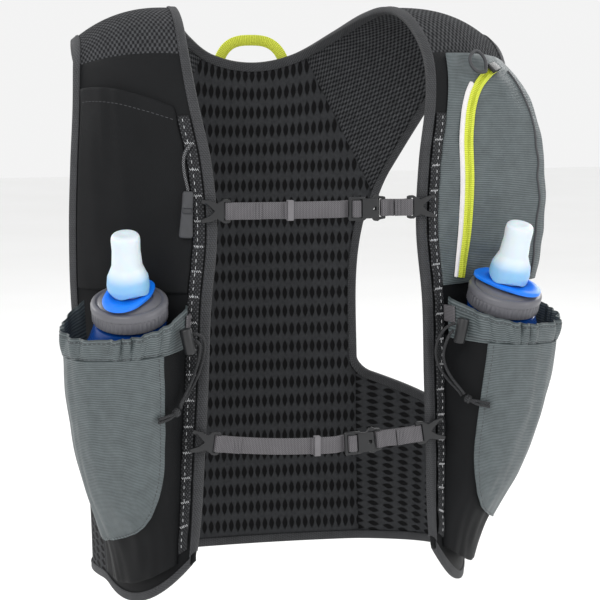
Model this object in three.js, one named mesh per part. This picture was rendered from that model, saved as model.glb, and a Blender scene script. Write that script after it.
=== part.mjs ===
// A running hydration vest in its worn shape. Two wide shoulder straps run from a mesh back over the
// shoulders into front panels, and two mesh wings close the sides. Each front panel carries a gathered
// bottle pocket with a soft flask. The wearer's right front has a flat stretch pocket, the left one a
// deep zipped pocket. Two buckled webbing straps cross the chest. Millimetres, +Z up, front faces -Y,
// the wearer's left is +X, and the origin lies between the shoulders, where the straps sit on them.
import * as THREE from "three";

// Overall body sizes: half width across the front panels, depth to the front and back edges, and drop.
const CHEST_HALF = 177;
const CHEST_FRONT = 115;
const CHEST_BACK = 110;
const VEST_DROP = 455;

// Cloth walls and clearances.
const BODY_WALL = 3;
const POCKET_WALL = 1.4;
const FACE_WALL = 1.1;
const FACE_GAP = 2.4;
const BAND_WALL = 2;
const SEAM_GAP = 0.3;
const TAPE_GAP = 0.72;
const TAPE_WALL = 1;
const TAPE_LEG = 6;

// Trim, pockets and webbing.
const WING_BULGE = 25;
const DAISY_WIDTH = 7;
const DAISY_WALL = 1.4;
const DAISY_LIFT = 1.1;
const DAISY_TACKS = 17;
const DAISY_CLEAR = 1.5;
const POCKET_CLEAR = 2;
const POCKET_BULGE = 59;
const POCKET_INSET = 13;
const ZIP_BULGE = 34;
const ZIP_GAP = 1;
const CHEST_PUFF = 5;
const RUFFLE_DEPTH = 1.7;
const RUFFLE_COUNT = 8;
const ZIP_TAPE_WIDTH = 6.5;
const ZIP_PIPING_WIDTH = 3.5;
const ZIP_WALL = 1;
const WEB_WIDTH = 12.5;
const WEB_WALL = 1.3;
const LOOP_WIDTH = 9;
const LOOP_WALL = 2.5;
const LOOP_HALF_SPAN = 30;
const LOOP_RISE = 20;
const LOOP_TAIL = 14;
const CORD = 2.2;
const PULL_CORD = 2.6;
const CORD_LOCK_RADIUS = 4.6;
const CORD_LOCK_LENGTH = 19;
const KNOT_RADIUS = 3.4;
const SLIDER_LENGTH = 11;
const SLIDER_WIDTH = 8;
const SLIDER_HEIGHT = 3;
const GRIP_LENGTH = 34;
const GRIP_WIDTH = 8.6;
const GRIP_WALL = 5;

// The chest straps' hard parts: hooks, adjuster frames and catch plates.
const HARD_WALL = 3;
const BAR_HALF = 1.2;
const MIDDLE_BAR_HALF = 1.8;
const BAR_SLOT = 2.4;
const FRAME_EDGE = 1.9;
const SLOT_CLEAR = 0.5;
const HOOK_LENGTH = 22;
const HOOK_OVERLAP = 12;
const BUCKLE_PLATE = 12;
const LATCH_WINDOW = 2.6;
const KEEPER_LENGTH = 4.5;
const KEEPER_WALL = 0.9;

// The soft flask's hard parts.
const CAP_RADIUS = 28;
const CAP_HEIGHT = 16;
const CAP_CROWN = 2.5;
const CAP_CAVITY = 11;
const CAP_WALL = 4.5;
const NECK_CLEAR = 1.5;
const FILM_CLEAR = 3;
const LEVER_RADIUS = 16.5;
const LEVER_REACH = 27;
const LEVER_WALL = 3.5;
const SPOUT_RADIUS = 12.3;
const SPOUT_HEIGHT = 9;
const VALVE_RADIUS = 15;
const VALVE_HEIGHT = 45;
const TURN_GAP = 0.4;

// One shoulder harness, from the front hem up the chest and over the shoulder to the back seam. Inner
// and outer edge in shares of the body sizes, the bow of each section, and the dip of its middle.
const HARNESS = [
  { run: 0.0, ix: 0.52, iy: -0.925, iz: -0.893, ox: 0.808, oy: -0.19, oz: -0.966, bow: 0.07, dip: 0.046 },
  { run: 0.06, ix: 0.503, iy: -0.948, iz: -0.827, ox: 0.83, oy: -0.243, oz: -0.876, bow: 0.07, dip: 0.018 },
  { run: 0.14, ix: 0.492, iy: -0.974, iz: -0.736, ox: 0.876, oy: -0.313, oz: -0.763, bow: 0.07, dip: 0.003 },
  { run: 0.25, ix: 0.475, iy: -0.991, iz: -0.598, ox: 0.938, oy: -0.391, oz: -0.607, bow: 0.07, dip: 0.0 },
  { run: 0.35, ix: 0.463, iy: -1.0, iz: -0.4725, ox: 0.971, oy: -0.435, oz: -0.4725, bow: 0.07, dip: 0.0 },
  { run: 0.45, ix: 0.435, iy: -0.991, iz: -0.352, ox: 0.976, oy: -0.443, oz: -0.352, bow: 0.07, dip: 0.0 },
  { run: 0.54, ix: 0.452, iy: -0.957, iz: -0.242, ox: 0.965, oy: -0.435, oz: -0.246, bow: 0.07, dip: 0.0 },
  { run: 0.62, ix: 0.497, iy: -0.87, iz: -0.143, ox: 0.951, oy: -0.426, oz: -0.158, bow: 0.07, dip: 0.0 },
  { run: 0.69, ix: 0.514, iy: -0.713, iz: -0.0725, ox: 0.942, oy: -0.365, oz: -0.092, bow: 0.07, dip: 0.0 },
  { run: 0.755, ix: 0.503, iy: -0.391, iz: -0.02, ox: 0.93, oy: -0.243, oz: -0.062, bow: 0.08, dip: 0.0 },
  { run: 0.83, ix: 0.48, iy: 0.0, iz: 0.0, ox: 0.919, oy: 0.0, oz: -0.055, bow: 0.075, dip: 0.0 },
  { run: 0.89, ix: 0.435, iy: 0.364, iz: -0.011, ox: 0.878, oy: 0.345, oz: -0.0945, bow: 0.06, dip: 0.0 },
  { run: 0.95, ix: 0.35, iy: 0.682, iz: -0.04, ox: 0.763, oy: 0.727, oz: -0.209, bow: 0.035, dip: 0.0 },
  { run: 1.0, ix: 0.237, iy: 0.891, iz: -0.0725, ox: 0.6045, oy: 0.982, oz: -0.341, bow: 0.0, dip: 0.0 },
];
const STRAP_START = 0.69;
const SEAM_RUN = 0.0004;

// The back panel's side edge from the hem to the strap seam, its bulge and the dip of the neckline.
const BACK = [
  { run: 0.0, x: 0.537, y: 0.982, z: -1.0, bulge: 0.05, dip: 0.0 },
  { run: 0.17, x: 0.525, y: 1.0, z: -0.835, bulge: 0.045, dip: 0.0 },
  { run: 0.34, x: 0.52, y: 1.0, z: -0.67, bulge: 0.035, dip: 0.0 },
  { run: 0.55, x: 0.514, y: 1.0, z: -0.495, bulge: 0.04, dip: 0.0 },
  { run: 0.72, x: 0.548, y: 0.991, z: -0.39, bulge: 0.055, dip: 0.0 },
  { run: 0.8, x: 0.6045, y: 0.982, z: -0.341, bulge: 0.06, dip: 0.0 },
  { run: 1.0, x: 0.237, y: 0.891, z: -0.0725, bulge: 0.06, dip: 0.022 },
];
const BACK_SEAM = 0.8;
const WING_BACK_TOP = 0.34;
const WING_FRONT_TOP = 0.14;

// How far the bottle pocket stands off its panel, in shares of its bulge, up the panel.
const POCKET_DEPTH = [
  { run: 0.0, rise: 0.08 },
  { run: 0.06, rise: 0.28 },
  { run: 0.14, rise: 0.64 },
  { run: 0.21, rise: 0.86 },
  { run: 0.29, rise: 1.0 },
  { run: 0.36, rise: 1.02 },
];
const POCKET_BOTTOM = 0.02;
const BAND_BOTTOM = 0.303;
const BAND_TOP = 0.36;
const BAND_DIP = 0.033;
const POCKET_ROUND = 0.7;
const POCKET_SPREAD = 0.85;

// The grey face on the bottle pocket: where its inner edge lies across the pocket, up the panel.
const FACE_EDGE = [
  { run: 0.07, share: 0.72 },
  { run: 0.076, share: 0.5 },
  { run: 0.09, share: 0.33 },
  { run: 0.13, share: 0.2 },
  { run: 0.18, share: 0.165 },
  { run: 0.303, share: 0.2 },
];

// The zipped pocket's depth up the panel, how far the depth keeps to its outer side there, and its
// profile from the inner edge to the outer one.
const ZIP_DEPTH = [
  { run: 0.362, rise: 0.72, focus: 3.2 },
  { run: 0.4, rise: 0.86, focus: 2.4 },
  { run: 0.44, rise: 0.95, focus: 1.6 },
  { run: 0.51, rise: 1.0, focus: 1.0 },
  { run: 0.58, rise: 0.88, focus: 1.0 },
  { run: 0.63, rise: 0.6, focus: 1.0 },
  { run: 0.685, rise: 0.08, focus: 1.0 },
];
const ZIP_PROFILE = [
  { run: 0.0, rise: 0.0 },
  { run: 0.18, rise: 0.16 },
  { run: 0.42, rise: 0.5 },
  { run: 0.68, rise: 0.86 },
  { run: 0.86, rise: 1.0 },
  { run: 0.95, rise: 0.82 },
  { run: 1.0, rise: 0.0 },
];
// The zipper's line over that pocket: its place across the pocket, up the panel.
const ZIP_LINE = [
  { run: 0.372, share: 0.185 },
  { run: 0.42, share: 0.25 },
  { run: 0.46, share: 0.262 },
  { run: 0.54, share: 0.23 },
  { run: 0.58, share: 0.218 },
  { run: 0.611, share: 0.239 },
  { run: 0.638, share: 0.333 },
  { run: 0.656, share: 0.5 },
  { run: 0.666, share: 0.68 },
];

// Chest straps: the height up the panels where each hangs, its sag, and in shares of the half span the
// places of the doubled end, the strap keeper, the buckle and the short side's doubled end.
const CHEST_STRAPS = [
  { name: "upper", run: 0.48, sag: 0.6, fold: -0.57, keeper: -0.29, buckle: 0.365, shortFold: 0.74 },
  { name: "lower", run: 0.177, sag: 7, fold: -0.7, keeper: -0.02, buckle: 0.3, shortFold: 0.7 },
];

// Each flask: the side it hangs on, and the way its lever points, counted from the front.
const FLASKS = [
  { name: "left", side: 1, lever: -1.38 },
  { name: "right", side: -1, lever: -1.54 },
];
const FLASK_RUN = 0.357;
const FLASK_SEAT = 0.41;
const FLASK_STAND = 32.5;
const FLASK_FORWARD = 0.33;
const FLASK_OUTWARD = 0.1;

// Free cords, as hand-chosen points in millimetres. The draw cord's two strands run from the cord lock
// to the knot, on the wearer's left and mirrored on the right. The whistle's cord hangs from the right
// daisy chain.
const DRAW_CORD_A = [
  [99.1, -139.6, -229.6],
  [95.8, -140.0, -230.2],
  [92.3, -138.6, -232.6],
  [90.2, -135.5, -236.4],
  [89.2, -131.5, -241.0],
  [88.9, -127.6, -246.0],
  [89.2, -124.4, -251.5],
  [90.2, -122.2, -257.0],
  [91.8, -121.5, -262.3],
  [94.2, -121.8, -267.3],
  [97.2, -123.1, -272.0],
  [100.4, -125.0, -276.3],
  [103.6, -127.5, -280.0],
  [106.0, -130.1, -283.0],
  [107.2, -132.4, -285.6],
];
const DRAW_CORD_B = [
  [97.4, -140.2, -234.6],
  [95.8, -140.6, -235.7],
  [94.4, -139.8, -238.0],
  [93.7, -137.3, -241.8],
  [93.6, -133.7, -246.0],
  [93.7, -130.2, -250.5],
  [94.2, -127.5, -255.2],
  [95.3, -125.9, -260.0],
  [96.8, -125.7, -264.7],
  [98.9, -126.2, -269.2],
  [101.3, -127.8, -273.3],
  [103.8, -129.7, -277.0],
  [106.2, -131.9, -280.3],
  [107.7, -134.1, -282.6],
  [108.2, -135.5, -284.0],
];
const KNOT_ROUTE = [
  [109.1, -134.5, -286.6],
  [115.5, -139.4, -289.6],
  [125.5, -144.4, -291.6],
];
const WHISTLE_CORD = [
  [-93.6, -111.2, -95.6],
  [-95.8, -111.8, -97.0],
  [-97.5, -112.1, -98.9],
  [-98.7, -112.3, -101.1],
  [-99.5, -112.5, -103.5],
  [-99.9, -112.7, -106.0],
  [-100.1, -112.9, -108.5],
  [-100.1, -113.2, -111.0],
  [-99.9, -113.5, -113.5],
  [-99.6, -113.8, -116.0],
  [-99.2, -114.1, -118.5],
  [-98.7, -114.4, -121.0],
  [-98.2, -114.7, -123.5],
  [-97.7, -114.9, -126.0],
  [-97.2, -115.1, -128.5],
];

const UP = new THREE.Vector3(0, 0, 1);
const STEP = 1e-3;

const vector = (x, y, z) => new THREE.Vector3(x, y, z);
const power = (value, exponent) => Math.sign(value) * Math.abs(value) ** exponent;
const steps = (from, to, count) =>
  Array.from({ length: count + 1 }, (_, i) => from + ((to - from) * i) / count);

// A smooth row of a table at a share of its run.
function rowAt(table, run) {
  let k = 0;
  while (k < table.length - 2 && run > table[k + 1].run) k += 1;
  const [before, from, to, after] = [
    table[Math.max(k - 1, 0)],
    table[k],
    table[k + 1],
    table[Math.min(k + 2, table.length - 1)],
  ];
  const span = to.run - from.run;
  const t = (run - from.run) / span;
  const row = {};
  for (const column of Object.keys(from)) {
    const leave = ((to[column] - before[column]) / (to.run - before.run)) * span;
    const arrive = ((after[column] - from[column]) / (after.run - from.run)) * span;
    row[column] =
      (2 * t ** 3 - 3 * t ** 2 + 1) * from[column] +
      (t ** 3 - 2 * t ** 2 + t) * leave +
      (3 * t ** 2 - 2 * t ** 3) * to[column] +
      (t ** 3 - t ** 2) * arrive;
  }
  return row;
}

// A point of the body from shares of the body sizes.
const place = (x, y, z) => vector(x * CHEST_HALF, y * (y < 0 ? CHEST_FRONT : CHEST_BACK), z * VEST_DROP);

// Surfaces are made for the wearer's left, at +X: (run, share) gives a point on the wearer's side.
function harnessChord(run, share) {
  const row = rowAt(HARNESS, run);
  return place(row.ix, row.iy, row.iz).lerp(place(row.ox, row.oy, row.oz), share);
}

const harnessWidth = (run) => harnessChord(run, 1).distanceTo(harnessChord(run, 0));

function harness(run, share) {
  const row = rowAt(HARNESS, run);
  const hump = 4 * share * (1 - share);
  const rise = harnessChord(run + STEP, 0.5).sub(harnessChord(run - STEP, 0.5));
  const reach = harnessChord(run, 1).sub(harnessChord(run, 0));
  return harnessChord(run, share)
    .addScaledVector(reach.cross(rise).normalize(), hump * row.bow * CHEST_FRONT)
    .addScaledVector(UP, -hump * row.dip * VEST_DROP);
}

function backEdge(run) {
  if (run > BACK_SEAM) return harnessChord(1, (1 - run) / (1 - BACK_SEAM));
  const row = rowAt(BACK, run);
  return place(row.x, row.y, row.z);
}

// The back runs from the wearer's left, share 0, to the right, share 1.
function back(run, share) {
  const row = rowAt(BACK, run);
  const edge = backEdge(run);
  const side = 1 - 2 * share;
  const middle = 1 - side ** 2;
  return vector(edge.x * side, edge.y + middle * row.bulge * CHEST_BACK, edge.z - middle * row.dip * VEST_DROP);
}

// A wing runs from the back edge, run 0, round the side to the front panel, run 1.
function wing(run, share) {
  const rear = backEdge(WING_BACK_TOP * share);
  const front = harness(WING_FRONT_TOP * share, 1);
  const chord = front.clone().sub(rear);
  const out = vector(-chord.y, chord.x, 0).normalize();
  return rear.lerp(front, run).addScaledVector(out, WING_BULGE * Math.sin(Math.PI * run));
}

function normalOf(surface, run, share) {
  const along = surface(run + STEP, share).sub(surface(run - STEP, share));
  const across = surface(run, share + STEP).sub(surface(run, share - STEP));
  return across.cross(along).normalize();
}

// A surface standing off another one by a distance that may change over it.
const raised = (surface, lift) => (run, share) =>
  surface(run, share).addScaledVector(normalOf(surface, run, share), lift(run, share));

// The two triangles of a quad, split along its shorter diagonal.
function quad(points, a, b, c, d) {
  const split = points[a].distanceTo(points[c]) - points[b].distanceTo(points[d]);
  return split < 0 ? [a, b, c, a, c, d] : [a, b, d, b, c, d];
}

// A closed geometry from points and faces, with its faces turned out.
function closed(points, faces) {
  let volume = 0;
  for (let i = 0; i < faces.length; i += 3) {
    const [a, b, c] = [points[faces[i]], points[faces[i + 1]], points[faces[i + 2]]];
    volume += a.dot(b.clone().cross(c));
  }
  const geometry = new THREE.BufferGeometry().setFromPoints(points);
  geometry.setIndex(volume < 0 ? faces.slice().reverse() : faces);
  geometry.computeVertexNormals();
  return geometry;
}

// A sheet of cloth: a grid on the surface, thickened outwards by its wall.
function sheet(surface, wall, runs, shares) {
  const inside = runs.flatMap((run) => shares.map((share) => surface(run, share)));
  const outside = runs.flatMap((run, i) =>
    shares.map((share, j) =>
      inside[i * shares.length + j].clone().addScaledVector(normalOf(surface, run, share), wall),
    ),
  );
  const points = [...inside, ...outside];
  const row = shares.length;
  const count = inside.length;
  const faces = [];
  const face = (...corners) => faces.push(...quad(points, ...corners));
  for (let i = 0; i < runs.length - 1; i += 1) {
    for (let j = 0; j < row - 1; j += 1) {
      const k = i * row + j;
      face(k, k + row, k + row + 1, k + 1);
      face(count + k, count + k + 1, count + k + row + 1, count + k + row);
    }
    const near = i * row;
    const far = near + row - 1;
    face(near, count + near, count + near + row, near + row);
    face(far, far + row, count + far + row, count + far);
  }
  for (let j = 0; j < row - 1; j += 1) {
    const last = count - row + j;
    face(j, j + 1, count + j + 1, count + j);
    face(last, count + last, count + last + 1, last + 1);
  }
  return closed(points, faces);
}

// A solid through rings of points. An outline gives the end faces of a section that isn't convex.
function loft(rings, outline) {
  const points = rings.flat();
  const size = rings[0].length;
  const faces = [];
  for (let i = 0; i < rings.length - 1; i += 1) {
    for (let j = 0; j < size; j += 1) {
      const [a, b] = [i * size + j, i * size + ((j + 1) % size)];
      faces.push(...quad(points, a, b, b + size, a + size));
    }
  }
  const ends = outline
    ? THREE.ShapeUtils.triangulateShape(outline, [])
    : steps(1, size - 2, size - 3).map((j) => [0, j, j + 1]);
  const turned = outline && THREE.ShapeUtils.isClockWise(outline) ? 1 : -1;
  const last = (rings.length - 1) * size;
  for (const [a, b, c] of ends) {
    if (turned < 0) faces.push(a, c, b, last + a, last + b, last + c);
    else faces.push(a, b, c, last + a, last + c, last + b);
  }
  return closed(points, faces);
}

function mirrored(geometry) {
  const copy = geometry.clone().scale(-1, 1, 1);
  const corners = Array.from(copy.index.array);
  copy.setIndex(corners.map((_, i) => corners[i + [0, 1, -1][i % 3]]));
  copy.computeVertexNormals();
  return copy;
}

const vest = new THREE.Group();

const MATERIALS = {
  back_mesh: { color: 0x34363a, roughness: 0.9, metalness: 0 },
  strap_mesh: { color: 0x4a4c50, roughness: 0.9, metalness: 0 },
  stretch_woven: { color: 0x26272a, roughness: 0.75, metalness: 0 },
  ripstop: { color: 0x59605f, roughness: 0.6, metalness: 0 },
  edge_tape: { color: 0x3d3e41, roughness: 0.8, metalness: 0 },
  webbing: { color: 0x6a686b, roughness: 0.8, metalness: 0 },
  black_plastic: { color: 0x202124, roughness: 0.45, metalness: 0 },
  zip_tape: { color: 0xc6d420, roughness: 0.6, metalness: 0 },
  reflective: { color: 0xcfd0d2, roughness: 0.4, metalness: 0 },
  cord: { color: 0x1c1d1f, roughness: 0.8, metalness: 0 },
  pull_rubber: { color: 0x4b4c4f, roughness: 0.6, metalness: 0 },
  flask_film: { color: 0x10479b, roughness: 0.3, metalness: 0 },
  cap_plastic: { color: 0x6d6d73, roughness: 0.35, metalness: 0 },
  lever_plastic: { color: 0x0f74ee, roughness: 0.4, metalness: 0 },
  silicone: { color: 0xdce6f2, roughness: 0.4, metalness: 0 },
};

function add(name, finish, geometry) {
  const mesh = new THREE.Mesh(geometry, new THREE.MeshStandardMaterial(MATERIALS[finish]));
  mesh.name = name;
  vest.add(mesh);
  return mesh;
}

function addPair(name, finish, geometry) {
  add(`${name}_left`, finish, geometry);
  add(`${name}_right`, finish, mirrored(geometry));
}

// Body panels: front panels, shoulder straps, side wings and back.
const FRONT_RUNS = [0, 0.03, 0.06, 0.1, 0.15, 0.21, 0.28, 0.35, 0.42, 0.49, 0.56, 0.63, STRAP_START - SEAM_RUN];
const STRAP_RUNS = [STRAP_START + SEAM_RUN, 0.73, 0.77, 0.81, 0.85, 0.88, 0.9, 0.925, 0.95, 0.975, 1 - SEAM_RUN];
const FRONT_SHARES = [0, 0.1, 0.3, 0.5, 0.7, 0.9, 1];
const STRAP_SHARES = [0, 0.12, 0.36, 0.64, 0.88, 1];
const BACK_SIDE = SEAM_GAP / CHEST_HALF;
const BACK_RUNS = [0, 0.09, 0.17, 0.25, 0.34, 0.45, 0.56, 0.68, BACK_SEAM, 0.87, 0.94, 1];
const BACK_SHARES = [BACK_SIDE, 0.1, 0.25, 0.42, 0.58, 0.75, 0.9, 1 - BACK_SIDE];
const WING_END = (2 * SEAM_GAP) / CHEST_FRONT;
const WING_RUNS = [WING_END, 0.16, 0.33, 0.5, 0.67, 0.84, 1 - WING_END];
const WING_SHARES = [0, 0.25, 0.5, 0.75, 1];

addPair("front_panel", "stretch_woven", sheet(harness, BODY_WALL, FRONT_RUNS, FRONT_SHARES));
addPair("shoulder_strap", "strap_mesh", sheet(harness, BODY_WALL, STRAP_RUNS, STRAP_SHARES));
addPair("side_wing", "back_mesh", sheet(wing, BODY_WALL, WING_RUNS, WING_SHARES));
add("back_panel", "back_mesh", sheet(back, BODY_WALL, BACK_RUNS, BACK_SHARES));

// Edge tape: a folded strip whose two legs hold the edge of a panel between them.
const TAPE_OUT = TAPE_GAP + TAPE_WALL;
const TAPE_OUTLINE = [
  [TAPE_LEG, -TAPE_OUT],
  [-TAPE_OUT, -TAPE_OUT],
  [-TAPE_OUT, BODY_WALL + TAPE_OUT],
  [TAPE_LEG, BODY_WALL + TAPE_OUT],
  [TAPE_LEG, BODY_WALL + TAPE_GAP],
  [-TAPE_GAP, BODY_WALL + TAPE_GAP],
  [-TAPE_GAP, -TAPE_GAP],
  [TAPE_LEG, -TAPE_GAP],
].map(([inward, out]) => new THREE.Vector2(inward, out));

// Stations on an edge: its point, the way into the panel and the way out of it.
function edgeStation(surface, run, share, nextRun, nextShare) {
  const point = surface(run, share);
  const inward = surface(nextRun, nextShare).sub(point).normalize();
  return { point, inward, out: normalOf(surface, run, share) };
}

const mirroredStation = ({ point, inward, out, ease }) => {
  const flip = (v) => vector(-v.x, v.y, v.z);
  return { point: flip(point), inward: flip(inward), out: flip(out), ease };
};

// One station where two edges meet, halfway between them: the tape's legs open as far as they turn.
const joinedStation = (a, b) => ({
  point: a.point.clone().lerp(b.point, 0.5),
  inward: a.inward.clone().add(b.inward).normalize(),
  out: a.out.clone().add(b.out).normalize(),
  ease: SEAM_GAP / 2 + TAPE_LEG * Math.sin(a.out.angleTo(b.out) / 2),
});

const edgeTape = (stations) =>
  loft(
    stations.map(({ point, inward, out, ease = 0 }) =>
      TAPE_OUTLINE.map((p) =>
        point
          .clone()
          .addScaledVector(inward, p.x)
          .addScaledVector(out, p.y + Math.sign(p.y) * ease),
      ),
    ),
    TAPE_OUTLINE,
  );

const innerEdge = (run) => edgeStation(harness, run, 0, run, run < STRAP_START ? FRONT_SHARES[1] : STRAP_SHARES[1]);
const outerEdge = (run) => edgeStation(harness, run, 1, run, run < STRAP_START ? FRONT_SHARES.at(-2) : STRAP_SHARES.at(-2));
const neckEdge = (share) => edgeStation(back, 1, share, BACK_RUNS.at(-2), share);
const backHem = (share) => edgeStation(back, 0, share, BACK_RUNS[1], share);
const backSide = (run) => edgeStation(back, run, 0, run, BACK_SHARES[1]);
const wingTop = (run) => edgeStation(wing, run, 1, run, WING_SHARES.at(-2));
const wingHem = (run) => edgeStation(wing, run, 0, run, WING_SHARES[1]);
const frontHem = (share) => edgeStation(harness, 0, share, FRONT_RUNS[1], share);

// A path over the left side, closed by its mirror image.
const withMirror = (stations, middle) => [
  ...stations,
  ...middle,
  ...stations.map(mirroredStation).reverse(),
];

const HARNESS_RUNS = [...FRONT_RUNS.slice(1, -1), STRAP_START, ...STRAP_RUNS.slice(1, -1)];
const neckSide = [...HARNESS_RUNS.map(innerEdge), joinedStation(innerEdge(1), neckEdge(0))];
add("neck_tape", "edge_tape", edgeTape(withMirror(neckSide, BACK_SHARES.slice(1, -1).map(neckEdge))));

const armStations = [
  ...HARNESS_RUNS.filter((run) => run > WING_FRONT_TOP + 0.04).map(outerEdge),
  joinedStation(outerEdge(1), backSide(BACK_SEAM)),
  ...BACK_RUNS.filter((run) => run > WING_BACK_TOP && run < BACK_SEAM).reverse().map(backSide),
  joinedStation(backSide(WING_BACK_TOP), wingTop(0)),
  ...WING_RUNS.slice(1, -1).map(wingTop),
  joinedStation(wingTop(1), outerEdge(WING_FRONT_TOP)),
  outerEdge(WING_FRONT_TOP + 0.035),
];
addPair("arm_tape", "edge_tape", edgeTape(armStations));

const hemSide = [
  ...FRONT_SHARES.slice(1, -1).map(frontHem),
  joinedStation(frontHem(1), wingHem(1)),
  ...WING_RUNS.slice(1, -1).reverse().map(wingHem),
  joinedStation(wingHem(0), backHem(0)),
];
add("hem_tape", "edge_tape", edgeTape(withMirror(hemSide, BACK_SHARES.slice(1, -1).map(backHem))));

// Daisy chain: narrow webbing tacked down beside each front edge, lifting between its tacks.
const ON_PANEL = BODY_WALL + SEAM_GAP;
const daisyEdge = TAPE_LEG + DAISY_CLEAR;
const DAISY_FROM = 0.03;
const DAISY_TO = 0.6;

function daisy(run, share) {
  const across = (daisyEdge + share * DAISY_WIDTH) / harnessWidth(run);
  const tack = Math.abs(Math.sin((Math.PI * DAISY_TACKS * (run - DAISY_FROM)) / (DAISY_TO - DAISY_FROM)));
  return harness(run, across).addScaledVector(normalOf(harness, run, across), ON_PANEL + DAISY_LIFT * tack);
}
addPair("daisy_chain", "edge_tape", sheet(daisy, DAISY_WALL, steps(DAISY_FROM, DAISY_TO, 2 * DAISY_TACKS), [0, 1]));

// Pockets lie between the daisy chain and the arm tape.
const pocketIn = (run) => (daisyEdge + DAISY_WIDTH + POCKET_CLEAR) / harnessWidth(run);
const pocketOut = (run) => 1 - (TAPE_LEG + POCKET_CLEAR) / harnessWidth(run);
const onPocketWidth = (run, share) => pocketIn(run) + share * (pocketOut(run) - pocketIn(run));
const bottleOut = (run) => pocketOut(run) - POCKET_INSET / harnessWidth(run);

// A bottle pocket's inner face: a rounded half tube whose legs stand on the panel.
function bottlePocket(run, share) {
  const turn = Math.PI * share;
  const spread = 0.5 - 0.5 * power(Math.cos(turn), POCKET_SPREAD);
  const across = pocketIn(run) + spread * (bottleOut(run) - pocketIn(run));
  const stand = POCKET_BULGE * rowAt(POCKET_DEPTH, run).rise * power(Math.sin(turn), POCKET_ROUND);
  return harness(run, across).addScaledVector(normalOf(harness, run, across), ON_PANEL + stand);
}

const POCKET_RUNS = [POCKET_BOTTOM, 0.05, 0.07, 0.095, 0.135, 0.18, 0.235, 0.27, BAND_BOTTOM - SEAM_RUN];
const POCKET_SHARES = [0, 0.05, 0.13, 0.24, 0.37, 0.5, 0.63, 0.76, 0.87, 0.95, 1];
addPair("bottle_pocket", "stretch_woven", sheet(bottlePocket, POCKET_WALL, POCKET_RUNS, POCKET_SHARES));

// The grey face sewn over the outer part of the pocket, with a curved inner edge.
const onPocket = raised(bottlePocket, () => POCKET_WALL + SEAM_GAP);
const overPocket = raised(bottlePocket, () => POCKET_WALL + FACE_GAP);
const FACE_END = 0.93;
function pocketFace(run, share) {
  const from = rowAt(FACE_EDGE, run).share;
  return overPocket(run, from + share * (FACE_END - from));
}
const FACE_RUNS = [0.07, 0.08, 0.095, 0.135, 0.18, 0.235, 0.27, BAND_BOTTOM - SEAM_RUN];
const FACE_SHARES = [0, 0.22, 0.44, 0.66, 0.77, 0.87, 0.95, 1];
addPair("pocket_face", "ripstop", sheet(pocketFace, FACE_WALL, FACE_RUNS, FACE_SHARES));

// The gathered band round the pocket's mouth, a doubled channel with a drawcord in it.
function pocketBand(rise, share) {
  const front = power(Math.sin(Math.PI * share), POCKET_ROUND);
  const top = BAND_TOP - BAND_DIP * front;
  const run = BAND_BOTTOM + SEAM_RUN + rise * (top - BAND_BOTTOM);
  const ruffle = RUFFLE_DEPTH * (0.35 + 0.65 * rise) * (1 + Math.cos(2 * Math.PI * RUFFLE_COUNT * share));
  return onPocket(run, share).addScaledVector(normalOf(bottlePocket, run, share), ruffle * front);
}
addPair("pocket_band", "ripstop", sheet(pocketBand, BAND_WALL, [0, 0.5, 1], steps(0.02, 0.98, 3 * RUFFLE_COUNT)));

// Flat stretch pocket on the wearer's right, open along its slanting top.
const CHEST_BOTTOM = 0.37;
const CHEST_TOP = 0.612;
const CHEST_SLANT = 0.035;
function chestPocket(rise, share) {
  const top = CHEST_TOP + CHEST_SLANT * Math.sin((Math.PI / 2) * share);
  const run = CHEST_BOTTOM + rise * (top - CHEST_BOTTOM);
  const puff = CHEST_PUFF * power(Math.sin(Math.PI * share), 0.8) * (0.35 + 0.65 * rise);
  const across = onPocketWidth(run, share);
  return harness(run, across).addScaledVector(normalOf(harness, run, across), ON_PANEL + puff);
}
const chestShape = sheet(chestPocket, POCKET_WALL, steps(0, 1, 7), steps(0, 1, 6));
add("chest_pocket", "stretch_woven", mirrored(chestShape));

// Deep zipped pocket on the wearer's left: flat at its inner edge, a steep gusset at its outer edge.
function zipPocket(run, share) {
  const across = onPocketWidth(run, share);
  const { rise, focus } = rowAt(ZIP_DEPTH, run);
  const stand = ZIP_BULGE * rise * Math.max(0, rowAt(ZIP_PROFILE, share).rise) ** focus;
  return harness(run, across).addScaledVector(normalOf(harness, run, across), ON_PANEL + stand);
}
const ZIP_RUNS = [0.37, 0.385, 0.4, 0.43, 0.47, 0.51, 0.55, 0.59, 0.63, 0.66, STRAP_START - 0.004];
const ZIP_SHARES = [0, 0.12, 0.28, 0.44, 0.6, 0.74, 0.86, 0.93, 0.975, 1];
add("zip_pocket", "ripstop", sheet(zipPocket, POCKET_WALL, ZIP_RUNS, ZIP_SHARES));

// The zipper tape and the pale piping beside it, lying on that pocket.
const onZipPocket = raised(zipPocket, () => POCKET_WALL + ZIP_GAP);
const zipStrip = (offset, width) => (at, share) => {
  const row = rowAt(ZIP_LINE, at);
  const ahead = rowAt(ZIP_LINE, at + STEP);
  const point = onZipPocket(row.run, row.share);
  const along = onZipPocket(ahead.run, ahead.share).sub(point);
  const out = normalOf(zipPocket, row.run, row.share);
  return point.addScaledVector(along.cross(out).normalize(), offset + (share - 0.5) * width);
};
const ZIP_STRIP_RUNS = [0.378, 0.4, 0.43, 0.46, 0.5, 0.54, 0.58, 0.6, 0.62, 0.635, 0.647, 0.656, 0.663];
const pipingOffset = -(ZIP_TAPE_WIDTH + ZIP_PIPING_WIDTH) / 2 - SEAM_GAP;
add("zip_tape", "zip_tape", sheet(zipStrip(0, ZIP_TAPE_WIDTH), ZIP_WALL, ZIP_STRIP_RUNS, [0, 1]));
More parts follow.
